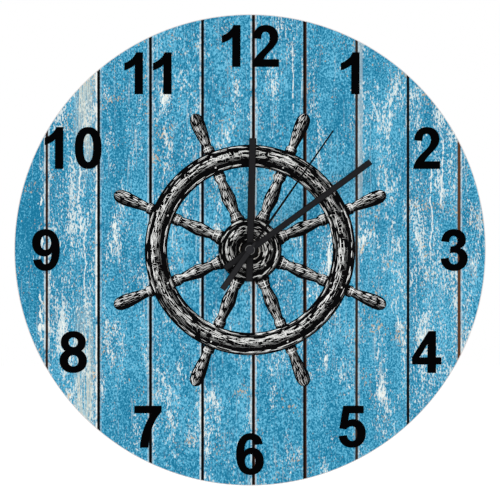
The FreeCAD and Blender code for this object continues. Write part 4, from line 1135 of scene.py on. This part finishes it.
def anticlockwise(outline: Array) -> Array:
    """The outline, turned round where it runs clockwise."""
    return outline if turning_area(outline) > 0 else outline[::-1]


def merged_outlines(outlines: Sequence[Array], tolerance: float = 1e-4) -> tuple[Array, Array]:
    """Fills several outlines that may overlap and keeps each place once.

    Args:
        outlines: the outlines.
        tolerance: points nearer than this are merged.

    Returns:
        The points, and the triangles as rows of three, anticlockwise.
    """
    outlines = [anticlockwise(outline) for outline in outlines]
    points = [Vector(point) for point in np.vstack(outlines).tolist()]
    ends = np.cumsum([len(outline) for outline in outlines])
    rings = [list(range(end - len(outline), end)) for outline, end in zip(outlines, ends)]
    found, _, triangles, _, _, sources = delaunay_2d_cdt(points, [], rings, 1, tolerance)
    corners = np.array([tuple(point) for point in found])
    kept = np.array([triangle for triangle, source in zip(triangles, sources) if source], dtype=np.int64)
    a, b, c = (corners[kept[:, column]] for column in range(3))
    area = (b[:, 0] - a[:, 0]) * (c[:, 1] - a[:, 1]) - (b[:, 1] - a[:, 1]) * (c[:, 0] - a[:, 0])
    is_open = np.abs(area) > SMALLEST
    kept, area = kept[is_open], area[is_open]
    kept[area < 0] = kept[area < 0][:, ::-1]
    return corners, kept


def slab(outlines: Sequence[Array], rear: float, front: float) -> Mesh:
    """A thin closed slab with the merged shape of several outlines.

    The front is the filled shape at the front depth, the back the same at the rear depth, and every edge
    that belongs to one triangle alone gets a wall.

    Args:
        outlines: the outlines.
        rear: depth of its back.
        front: depth of its front.

    Returns:
        The vertices and the faces.
    """
    plane, triangles = merged_outlines(outlines)
    count = len(plane)
    edges = np.vstack([triangles[:, [0, 1]], triangles[:, [1, 2]], triangles[:, [2, 0]]])
    _, inverse, uses = np.unique(np.sort(edges, axis=1), axis=0, return_inverse=True, return_counts=True)
    border = edges[uses[inverse.reshape(-1)] == 1]
    walls = np.column_stack([border[:, 1], border[:, 0], border[:, 0] + count, border[:, 1] + count])
    sides = [np.column_stack([plane[:, 0], np.full(count, -depth), plane[:, 1]]) for depth in (front, rear)]
    return np.vstack(sides), triangles.tolist() + (triangles[:, ::-1] + count).tolist() + walls.tolist()


def print_slab(name: str, outlines: Sequence[Array], rise: float, ink: bpy.types.Material) -> None:
    """Prints outlines on the face, as a slab of ink from just inside the film to its rise above it."""
    face = round_sizes(PRINT_NODE)[2]
    add_piece(name, slab(outlines, face - INK_SUNK, face + rise), ink)


def bezier(start: Array, handle: Array, second: Array, end: Array, steps: int = 10) -> Array:
    """Points of a cubic curve: the weighted mean of four points, with binomial weights.

    Args:
        start: where it starts.
        handle: the point that it heads for there.
        second: the point that it comes from at its end.
        end: where it ends.
        steps: number of points.

    Returns:
        Rows of x and z, without the start.
    """
    t = np.linspace(0.0, 1.0, steps + 1)[1:, None]
    return ((1 - t) ** 3 * start + 3 * (1 - t) ** 2 * t * handle + 3 * (1 - t) * t ** 2 * second
            + t ** 3 * end)


def oval(centre: tuple[float, float], half_width: float, half_height: float, power: float = 2.0,
         steps: int = 40) -> Array:
    """A closed oval: |x / half width| to a power plus |z / half height| to that power is 1.

    Args:
        centre: its middle.
        half_width: half its width.
        half_height: half its height.
        power: 2 for an ellipse, and more for fuller corners.
        steps: number of points.

    Returns:
        The outline, anticlockwise.
    """
    turn = np.linspace(0.0, FULL_TURN, steps, endpoint=False)
    cos, sin = np.cos(turn), np.sin(turn)
    x = centre[0] + half_width * np.sign(cos) * np.abs(cos) ** (2 / power)
    z = centre[1] + half_height * np.sign(sin) * np.abs(sin) ** (2 / power)
    return np.stack([x, z], axis=1)


def with_hole(outer: Array, hole: Array) -> Array:
    """Joins a hole to an outline by a slit between their nearest points.

    Args:
        outer: the outline.
        hole: the hole's outline, which runs the same way.

    Returns:
        One outline that goes round both.
    """
    gaps = np.linalg.norm(outer[:, None, :] - hole[None, :, :], axis=2)
    at_outer, at_hole = np.unravel_index(np.argmin(gaps), gaps.shape)
    around = np.roll(hole, -at_hole, axis=0)
    around = np.vstack([around, around[:1]])[::-1]
    return np.vstack([outer[:at_outer + 1], around, outer[at_outer:]])


def spread(outline: Array, by: float) -> Array:
    """Moves a closed outline outwards, or inwards where the distance is negative.

    Each point moves along the mean of the outward normals of the two runs that meet there, lengthened so
    that both runs move by the distance.

    Args:
        outline: the outline.
        by: the distance.

    Returns:
        The moved outline, anticlockwise.
    """
    outline = anticlockwise(outline)
    runs = np.roll(outline, -1, axis=0) - outline
    normals = np.stack([runs[:, 1], -runs[:, 0]], axis=1)
    normals /= np.maximum(np.linalg.norm(normals, axis=1, keepdims=True), SMALLEST)
    before = np.roll(normals, 1, axis=0)
    lengthen = 1.0 + np.maximum(np.sum(normals * before, axis=1, keepdims=True), -0.2)
    return outline + (normals + before) / lengthen * by


def ringed(outer: Array, hole: Array, weight: float) -> Array:
    """An outline with a hole, both moved so that the ink between them gains weight on each side."""
    return with_hole(spread(outer, weight), spread(hole, -weight))


def glyph(*parts: tuple[float, ...]) -> Array:
    """A closed outline from its parts, in shares of a numeral's height.

    Args:
        parts: numbers in thousandths of the height. Two are a straight run to that point, from the second
            part on, and six are a cubic curve: its two handles and its end.

    Returns:
        The outline.
    """
    rows = np.array([parts[0]], float)
    for part in parts[1:]:
        points = np.array(part, float).reshape(-1, 2)
        rows = np.vstack([rows, bezier(rows[-1], *points) if len(points) > 1 else points])
    rows /= 1000.0
    return rows[:-1] if np.allclose(rows[0], rows[-1]) else rows


def digit_outlines(weight: float) -> dict[str, tuple[float, list[Array]]]:
    """Bold plain digits, in shares of their height.

    Args:
        weight: how far every edge is moved outwards.

    Returns:
        The width and the outlines of each digit, by its sign.
    """
    zero = ringed(oval((0.317, 0.5), 0.317, 0.5, 2.35), oval((0.317, 0.5), 0.125, 0.345, 2.2), weight)
    one = glyph((0, 742), (110, 780, 235, 870, 280, 1000), (440, 1000), (440, 0), (248, 0), (248, 710),
                (180, 645, 100, 605, 0, 575))
    two = glyph((22, 690), (35, 890, 150, 1000, 325, 1000), (505, 1000, 622, 885, 622, 715),
                (622, 600, 560, 515, 470, 425), (380, 335, 300, 260, 272, 175), (640, 175), (640, 0), (0, 0),
                (12, 125, 70, 235, 235, 390), (345, 495, 425, 570, 425, 700), (425, 795, 385, 845, 318, 845),
                (252, 845, 212, 795, 208, 672))
    three = glyph((20, 715), (42, 895, 160, 1000, 318, 1000), (490, 1000, 605, 890, 605, 745),
                  (605, 650, 555, 580, 465, 540), (580, 515, 650, 420, 650, 295), (650, 115, 505, 0, 325, 0),
                  (150, 0, 22, 105, 5, 285), (192, 308), (203, 208, 253, 152, 325, 152),
                  (400, 152, 455, 210, 455, 300), (455, 388, 403, 440, 325, 440),
                  (290, 440, 255, 435, 225, 425), (246, 583), (350, 580, 412, 628, 412, 715),
                  (412, 798, 372, 845, 312, 845), (252, 845, 212, 797, 204, 692))
    four = ringed(glyph((370, 0), (570, 0), (570, 205), (700, 205), (700, 368), (570, 368), (570, 1000),
                        (398, 1000), (0, 372), (0, 205), (370, 205)),
                  glyph((170, 368), (370, 368), (370, 690)), weight)
    five = glyph((118, 1000), (605, 1000), (605, 828), (262, 828), (232, 648),
                 (272, 668, 315, 678, 358, 678), (530, 678, 655, 540, 655, 345),
                 (655, 135, 520, 0, 325, 0), (155, 0, 30, 100, 12, 270), (203, 290),
                 (215, 205, 262, 150, 328, 150), (408, 150, 458, 220, 458, 335),
                 (458, 450, 406, 515, 322, 515), (268, 515, 222, 490, 182, 440), (28, 462))
    six = ringed(glyph((632, 745), (607, 905, 497, 1000, 345, 1000), (130, 1000, 0, 820, 0, 490),
                       (0, 170, 130, 0, 340, 0), (525, 0, 660, 130, 660, 325),
                       (660, 520, 535, 650, 372, 650), (295, 650, 235, 620, 190, 562),
                       (196, 760, 245, 848, 337, 848), (395, 848, 433, 802, 443, 724)),
                 oval((0.335, 0.325), 0.132, 0.178, 2.1), weight)
    seven = glyph((0, 1000), (650, 1000), (650, 858), (515, 735, 350, 430, 332, 0), (137, 0),
                  (152, 300, 262, 620, 428, 828), (0, 828))
    eight = [ringed(oval((0.325, 0.735), 0.297, 0.265, 2.1), oval((0.325, 0.735), 0.115, 0.12, 2.1), weight),
             ringed(oval((0.325, 0.288), 0.325, 0.288, 2.15), oval((0.325, 0.288), 0.13, 0.14, 2.1), weight)]
    nine = np.array([0.66, 1.0]) - six
    plain = {"1": (0.43, one), "2": (0.64, two), "3": (0.65, three), "5": (0.655, five), "7": (0.65, seven)}
    digits = {sign: (width, [spread(outline, weight)]) for sign, (width, outline) in plain.items()}
    return digits | {"0": (0.634, [zero]), "4": (0.70, [four]), "6": (0.66, [six]), "8": (0.65, eight),
                     "9": (0.66, [nine])}


@dataclass
class HourNumerals:
    """The twelve numerals, printed in solid black.

    The shifts are the places of the digits' middles beside the numeral's place, in shares of the height.
    """

    height: float = 26.8
    circle: float = 131.8
    weight: float = 0.16
    ink: float = 0.06
    shifts: dict[int, tuple[float, ...]] = field(default_factory=lambda: {
        1: (-0.05,), 10: (-0.47, 0.36), 11: (-0.35, 0.34), 12: (-0.46, 0.375)})

    def outlines_of(self, hour: int) -> list[Array]:
        """Outlines of one numeral in the face's plane.

        Args:
            hour: the hour.

        Returns:
            The outlines.
        """
        digits = digit_outlines(self.weight / self.height)
        turn = math.radians(90.0 - 30.0 * hour)
        middle = np.array([self.circle * math.cos(turn), self.circle * math.sin(turn)])
        placed = []
        for sign, shift in zip(str(hour), self.shifts.get(hour, (0.0,))):
            width, outlines = digits[sign]
            move = np.array([shift - width / 2, -0.5])
            placed += [middle + (outline + move) * self.height for outline in outlines]
        return placed

    def build(self, finishes: Finishes) -> None:
        """Prints each numeral."""
        for hour in range(1, 13):
            print_slab(f"numeral_{hour:02d}", self.outlines_of(hour), self.ink, finishes.made["numeral_ink"])


@dataclass
class Strokes:
    """Tapered strokes of one ink, which become one piece.

    The ink is laid where the light is above the threshold, and is widest where it is the reach above that.
    """

    tone: Tone
    threshold: float
    reach: float
    widening: float
    rise: float
    lines: list[Array] = field(default_factory=list)
    halves: list[Array] = field(default_factory=list)

    def ridges(self, rear: float, front: float) -> Mesh:
        """The strokes as thin closed ridges.

        Each stroke's line is given a width across its own direction. A section is a triangle: two corners at
        the rear depth, half a width to each side, and one on the line at the front depth.

        Args:
            rear: depth of the strokes' underside.
            front: depth of their ridges.

        Returns:
            The vertices and the faces.
        """
        lines, halves = np.concatenate(self.lines), np.concatenate(self.halves)
        along = np.gradient(lines, axis=1)
        along /= np.maximum(np.linalg.norm(along, axis=2, keepdims=True), SMALLEST)
        across = np.stack([along[..., 1], -along[..., 0]], axis=-1) * halves[..., None]
        flat = np.stack([lines + across, lines - across, lines], axis=2)
        depth = np.broadcast_to(np.array([-rear, -rear, -front]), flat.shape[:3])
        vertices = np.stack([flat[..., 0], depth, flat[..., 1]], axis=-1).reshape(-1, 3)
        strokes, points = halves.shape
        base = (np.arange(strokes)[:, None] * points + np.arange(points - 1)[None, :]) * 3
        faces = []
        for first, second in ((0, 2), (2, 1), (1, 0)):
            a, b = base + first, base + second
            faces += [np.stack([a, b, b + 3], axis=-1), np.stack([a, b + 3, a + 3], axis=-1)]
        start = np.arange(strokes) * points * 3
        end = start + (points - 1) * 3
        faces += [np.stack([start, start + 1, start + 2], axis=-1),
                  np.stack([end, end + 2, end + 1], axis=-1)]
        return vertices, np.concatenate([face.reshape(-1, 3) for face in faces]).tolist()


@dataclass
class ShipWheelPicture:
    """The picture on the face: a ship's wheel in the manner of an engraving.

    Black shapes are printed first. White and grey strokes on them model the light, which comes from the
    upper left. A stroke's width at a point follows how far the surface there faces the light. Lines are
    strokes by points by (x, z), and shine is strokes by points, the light there.
    """

    rim_inner: float = 53.5
    rim_outer: float = 68.0
    hub_radius: float = 20.5
    spokes: int = 8
    handle_end: float = 95.0
    turned_places: tuple[float, ...] = (
        20.0, 22.5, 23.0, 25.5, 26.0, 30.0, 36.0, 43.0, 48.0, 49.2, 50.0, 52.5, 54.0, 68.0, 69.5, 71.0, 71.8,
        74.0, 80.0, 87.0, 91.5, 94.0, 95.0)
    turned_halves: tuple[float, ...] = (
        4.4, 4.4, 3.4, 3.4, 2.6, 3.4, 4.3, 3.3, 2.5, 3.4, 3.6, 3.4, 3.4, 3.4, 3.4, 3.6, 2.5,
        2.7, 3.6, 4.3, 3.9, 2.5, 0.6)
    black_margin: float = 0.35
    rim_margin: float = 0.5
    moulding: float = 2.6
    groove: float = 3.3
    hub_margin: float = 0.6
    hub_moulding: float = 3.4
    hub_groove: float = 4.4
    dish_inner: float = 8.2
    nave: Span = (5.9, 7.6)
    shank: Span = (20.9, 53.2)
    handle: Span = (68.4, 94.6)
    rivet_circles: tuple[float, ...] = (57.0, 64.5)
    rivet_radius: float = 1.25
    hub_rivet_circle: float = 14.6
    hub_rivet_radius: float = 1.2
    collar_places: tuple[float, ...] = (22.0, 25.0, 49.4, 51.6, 69.2, 71.0)
    edge_lean: float = 0.95
    ink: float = 0.07
    overlap: float = 0.02
    light: tuple[float, float, float] = (-0.46, 0.58, 0.67)
    random: np.random.Generator = field(default_factory=lambda: np.random.default_rng(SEED))
    grey: Strokes = field(default_factory=lambda: Strokes(Tone.GREY, 0.08, 0.58, 1.04, 0.06))
    white: Strokes = field(default_factory=lambda: Strokes(Tone.WHITE, 0.43, 0.3, 1.06, 0.11))

    def spoke_half(self, radius: Array) -> Array:
        """Half the width of a turned spoke at a distance from the arbor, by straight steps between sizes."""
        return np.interp(radius, self.turned_places, self.turned_halves)

    def spoke_turns(self) -> Array:
        """Directions of the spokes."""
        return np.arange(self.spokes) * FULL_TURN / self.spokes + np.pi / self.spokes

    def at(self, turn: Array, radius: Array, across: Array = 0.0) -> Array:
        """Points at a distance in a direction from the arbor, and a distance across it."""
        return np.stack([radius * np.cos(turn) - across * np.sin(turn),
                         radius * np.sin(turn) + across * np.cos(turn)], axis=-1)

    def black_outlines(self) -> list[Array]:
        """Outlines of everything that is printed black.

        Returns:
            The rim, the hub, and the spokes with their handles.
        """
        outlines = [with_hole(oval((0, 0), self.rim_outer, self.rim_outer, steps=160),
                              oval((0, 0), self.rim_inner, self.rim_inner, steps=144)),
                    oval((0, 0), self.hub_radius, self.hub_radius, steps=96)]
        radius = np.linspace(self.hub_radius - 1.5, self.handle_end, 60)
        half = self.spoke_half(radius) + self.black_margin
        outlines += [np.vstack([self.at(turn, radius, -half), self.at(turn, radius, half)[::-1]])
                     for turn in self.spoke_turns()]
        return outlines

    def facing(self, normal_x: Array, normal_z: Array) -> Array:
        """Share of the light that a place gets, where its normal leans by the given parts in the plane."""
        lean = np.sqrt(np.maximum(0.0, 1.0 - normal_x ** 2 - normal_z ** 2))
        return np.clip(normal_x * self.light[0] + normal_z * self.light[1] + lean * self.light[2], 0.0, 1.0)

    def lay(self, lines: Array, shine: Array, width: float) -> None:
        """Adds strokes with the width that their light asks for.

        The half width is the full half width times the light above an ink's threshold, times a taper, the
        sine of the share along the stroke. Both are taken to a power below 1, which fills the strokes out.
        The grey ink's threshold is low, and the white ink, which lies on it, has a high one.

        Args:
            lines: the strokes.
            shine: the light on them.
            width: full width of the widest stroke.
        """
        narrowest_drawn, narrowest_point = 0.05, 0.012
        light_power, taper_power = 0.8, 0.55
        share = np.linspace(0.0, 1.0, lines.shape[1])[None, :]
        taper = np.sin(np.pi * np.clip(share, 0.02, 0.98)) ** taper_power
        noise = self.random.uniform(0.75, 1.25, (len(lines), 1))
        for ink in (self.grey, self.white):
            lit = np.clip((shine - ink.threshold) / ink.reach, 0.0, 1.0) ** light_power
            halves = ink.widening * width / 2 * lit * taper * noise
            drawn = halves.max(axis=1) > narrowest_drawn
            if drawn.any():
                ink.lines.append(lines[drawn])
                ink.halves.append(np.maximum(halves[drawn], narrowest_point))

    def ring_band(self, inner: float, outer: float, spacing: float, length: float, width: float,
                  bulge: float = 0.95) -> None:
        """Strokes round a ring whose section is round, each on its own circle.

        Args:
            inner: inner radius of the band.
            outer: outer radius.
            spacing: distance between circles.
            length: mean length of a stroke.
            width: full width of the widest stroke.
            bulge: how far the band's edges turn away, from 0 to 1.
        """
        for radius in np.arange(inner + spacing / 2, outer, spacing):
            count = max(6, int(FULL_TURN * radius / (length * 1.12)))
            start = np.sort(self.random.uniform(0, FULL_TURN, count))
            reach = self.random.uniform(0.6, 1.25, count) * length / radius
            turn = start[:, None] + reach[:, None] * np.linspace(0, 1, STROKE_POINTS)[None, :]
            wander = radius + self.random.normal(0, spacing * 0.12, (count, 1))
            wander = wander + self.random.normal(0, spacing * 0.05, turn.shape)
            lean = bulge * (2 * (radius - inner) / (outer - inner) - 1)
            shine = self.facing(lean * np.cos(turn), lean * np.sin(turn))
            self.lay(self.at(turn, wander), shine * self.random.uniform(0.72, 1.12, (count, 1)), width)

    def cross_strokes(self, inner: float, outer: float, number: int, width: float) -> None:
        """Short strokes across a ring, slightly askew, as the engraver's second hatch.

        Args:
            inner: inner radius of the ring.
            outer: outer radius.
            number: how many there are.
            width: full width of the widest stroke.
        """
        turn = self.random.uniform(0, FULL_TURN, number)
        low = self.random.uniform(inner, outer - 2.0, number)
        share = np.linspace(0, 1, STROKE_POINTS)[None, :]
        radius = np.minimum(low[:, None] + self.random.uniform(1.4, 3.4, (number, 1)) * share, outer - 0.4)
        bend = turn[:, None] + self.random.normal(0, 0.02, (number, 1)) * share
        lean = self.edge_lean * (2 * (radius - inner) / (outer - inner) - 1)
        self.lay(self.at(bend, radius), self.facing(lean * np.cos(bend), lean * np.sin(bend)) * 0.8, width)

    def spoke_strokes(self, turn: float, start: float, end: float, length: float, width: float = 0.52,
                      rows: int = 9) -> None:
        """Strokes along a turned spoke that follow its swelling sides.

        Args:
            turn: the spoke's direction.
            start: distance from the arbor where the strokes start.
            end: where they end.
            length: mean length of a stroke.
            width: full width of the widest stroke.
            rows: number of rows across the spoke.
        """
        for place in np.linspace(-0.84, 0.84, rows):
            count = max(1, int((end - start) / (length * 1.05)))
            number = np.arange(count) + self.random.uniform(-0.3, 0.3, count)
            begin = np.maximum(start + number * (end - start) / count, start)
            reach = self.random.uniform(0.7, 1.2, count) * length
            radius = begin[:, None] + reach[:, None] * np.linspace(0, 1, STROKE_POINTS)[None, :]
            radius = np.minimum(radius, end)
            side = place + self.random.normal(0, 0.04, (count, 1))
            lean = np.broadcast_to(np.clip(side, -0.98, 0.98), radius.shape)
            shine = self.facing(-lean * math.sin(turn), lean * math.cos(turn))
            shine = shine * self.random.uniform(0.75, 1.15, (count, 1))
            self.lay(self.at(turn, radius, side * self.spoke_half(radius)), shine, width)

    def collars(self, turn: float, width: float = 0.55) -> None:
        """Bright curved lines across a spoke where its turned rings are.

        Args:
            turn: the spoke's direction.
            width: full width of the widest stroke.
        """
        share = np.linspace(-0.9, 0.9, STROKE_POINTS)
        shine = self.facing(-share * math.sin(turn), share * math.cos(turn)) * 1.1
        for place in self.collar_places:
            radius = place + 0.5 * (1 - share ** 2)
            line = self.at(turn, radius, share * self.spoke_half(np.array([place])))
            self.lay(line[None], shine[None], width)

    def rivet(self, centre: Array, radius: float) -> None:
        """A round rivet head: three short arcs on the side that the light falls on.

        Args:
            centre: its middle.
            radius: its radius.
        """
        towards = math.atan2(self.light[1], self.light[0])
        for share, width in ((0.75, 0.28), (0.45, 0.34), (0.15, 0.4)):
            turn = towards + np.linspace(-1.1, 1.1, STROKE_POINTS) * (1.2 - share * 0.3)
            arc = centre + self.at(turn, radius * share)
            self.lay(arc[None], np.full((1, STROKE_POINTS), 0.95), width)

    def draw(self) -> None:
        """Lays every stroke: rim with its mouldings, hub with its ring and nave, then each spoke."""
        inner, outer, hub = self.rim_inner, self.rim_outer, self.hub_radius
        self.ring_band(inner + self.rim_margin, inner + self.moulding, spacing=0.62, length=6.0, width=0.5)
        self.ring_band(outer - self.moulding, outer - self.rim_margin, spacing=0.62, length=6.0, width=0.5)
        self.ring_band(inner + self.groove, outer - self.groove, spacing=0.72, length=5.0, width=0.58)
        self.cross_strokes(inner + self.groove, outer - self.groove, number=420, width=0.4)
        self.ring_band(hub - self.hub_moulding, hub - self.hub_margin, spacing=0.62, length=4.5, width=0.5)
        self.ring_band(self.dish_inner, hub - self.hub_groove, spacing=0.66, length=4.0, width=0.52,
                       bulge=0.8)
        self.ring_band(*self.nave, spacing=0.55, length=3.0, width=0.42)
        for turn in self.spoke_turns():
            self.spoke_strokes(turn, *self.shank, length=5.0)
            self.spoke_strokes(turn, *self.handle, length=4.6)
            self.collars(turn)
            for circle in self.rivet_circles:
                self.rivet(self.at(turn, circle), self.rivet_radius)
            self.rivet(self.at(turn + np.pi / self.spokes, self.hub_rivet_circle), self.hub_rivet_radius)

    def build(self, finishes: Finishes) -> None:
        """Prints the black shapes and the strokes on them.

        Args:
            finishes: the finishes.
        """
        black = Tone.BLACK.value
        print_slab(f"picture_{black}", self.black_outlines(), self.ink, finishes.made[f"ink_{black}"])
        self.draw()
        top = round_sizes(PRINT_NODE)[2] + self.ink
        for ink in (self.white, self.grey):
            name = ink.tone.value
            add_piece(f"picture_{name}", ink.ridges(top - self.overlap, top + ink.rise),
                      finishes.made[f"ink_{name}"])


@dataclass
class Movement:
    """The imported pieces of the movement, hanger, hands and cell, which keep their shapes."""

    replaced: tuple[str, ...] = (BOARD_NODE, PRINT_NODE)

    def dress(self, finishes: Finishes) -> None:
        """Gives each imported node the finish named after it, or else the finish of its slot.

        Args:
            finishes: the finishes.
        """
        slots = {part["node"]: part["material_slot"] for part in frame["record"]["subparts"]}
        for name, thing in frame["nodes"].items():
            if name in self.replaced:
                continue
            thing.data.materials.clear()
            thing.data.materials.append(finishes.made.get(name) or finishes.made[slots[name]])
            LOG.info("node %s: %s", name, slots[name])


@dataclass
class Studio:
    """Camera, floor, world and lamps, in metres and watts."""

    lens: float = 135.0
    sensor: float = 36.0
    distance: float = 1.2346
    clip_end: float = 20.0
    floor_height: float = -0.45
    floor_half: float = 6.0
    floor_lift: float = 0.3
    ambient: float = 0.80

    def camera(self) -> None:
        """Places the camera straight in front of the dial."""
        data = bpy.data.cameras.new("front_camera")
        data.lens = self.lens
        data.sensor_width = self.sensor
        data.clip_end = self.clip_end
        camera = bpy.data.objects.new("front_camera", data)
        camera.location = (0.0, -self.distance, 0.0)
        camera.rotation_euler = (math.pi / 2, 0.0, 0.0)
        bpy.context.scene.collection.objects.link(camera)
        bpy.context.scene.camera = camera

    def white_for_eyes(self, bench: Bench, own: float, seen: float = 1.0) -> Wire:
        """A strength that differs for camera, glossy and transmission rays.

        Args:
            bench: the bench to work on.
            own: the strength for all other rays.
            seen: the strength for those three.

        Returns:
            The strength.
        """
        rays = ("Is Camera Ray", "Is Glossy Ray", "Is Transmission Ray")
        return own + bench.largest(*bench.outs("ShaderNodeLightPath", rays)) * (seen - own)

    def world(self) -> None:
        """Even pale surroundings that look white."""
        world = bpy.data.worlds.new("studio")
        world.use_nodes = True
        bench = Bench(world.node_tree)
        bench.tree.nodes.clear()
        strength = self.white_for_eyes(bench, self.ambient)
        back = bench.out("ShaderNodeBackground", {"Color": (1.0, 1.0, 1.0), "Strength": strength})
        bench.put("ShaderNodeOutputWorld", {"Surface": back})
        bpy.context.scene.world = world

    def floor(self) -> None:
        """A pale floor below the clock that looks white and keeps its shadow."""
        mesh = bpy.data.meshes.new("studio_floor")
        corners = [(x * self.floor_half, y * self.floor_half, self.floor_height)
                   for x, y in ((-1, -1), (1, -1), (1, 1), (-1, 1))]
        mesh.from_pydata(corners, [], [(0, 1, 2, 3)])
        paper = Surface("floor_paper")
        bench = paper.bench
        tint = 0.93 + bench.cloud(paper.metres, 40.0, detail=3.0) * 0.02
        bench.fill(paper.shader, {
            "Base Color": bench.out("ShaderNodeCombineColor", {0: tint, 1: tint, 2: tint}), "Roughness": 0.9,
            "Specular IOR Level": 0.1, "Emission Color": (1.0, 1.0, 1.0),
            "Emission Strength": self.white_for_eyes(bench, 0.0, self.floor_lift)})
        mesh.materials.append(paper.material)
        floor = bpy.data.objects.new("studio_floor", mesh)
        bpy.context.scene.collection.objects.link(floor)

    def lamp(self, name: str, place: tuple[float, float, float], size: float, watts: float) -> None:
        """A soft square lamp that points at the dial.

        Args:
            name: its name.
            place: where it stands.
            size: length of its sides.
            watts: its power.
        """
        data = bpy.data.lights.new(name, "AREA")
        data.size = size
        data.energy = watts
        lamp = bpy.data.objects.new(name, data)
        lamp.location = place
        lamp.rotation_euler = (-Vector(place)).to_track_quat("-Z", "Y").to_euler()
        bpy.context.scene.collection.objects.link(lamp)

    def build(self) -> None:
        """Sets the whole studio up."""
        self.camera()
        self.world()
        self.floor()
        self.lamp("key_lamp", (-1.2, -1.7, 1.5), size=1.6, watts=11.0)
        self.lamp("fill_lamp", (1.5, -1.5, 0.6), size=1.8, watts=6.0)
        self.lamp("back_lamp", (0.6, 1.8, 1.4), size=1.6, watts=9.0)
        bpy.context.scene.view_settings.view_transform = "Standard"


def main() -> None:
    """Builds the clock's pieces in order."""
    logging.basicConfig(level=logging.INFO, format="%(name)s %(message)s")
    Studio().build()
    finishes = Finishes()
    finishes.build()
    Movement().dress(finishes)
    DialBoard().build(finishes)
    HourNumerals().build(finishes)
    ShipWheelPicture().build(finishes)


if __name__ == "__main__":
    main()
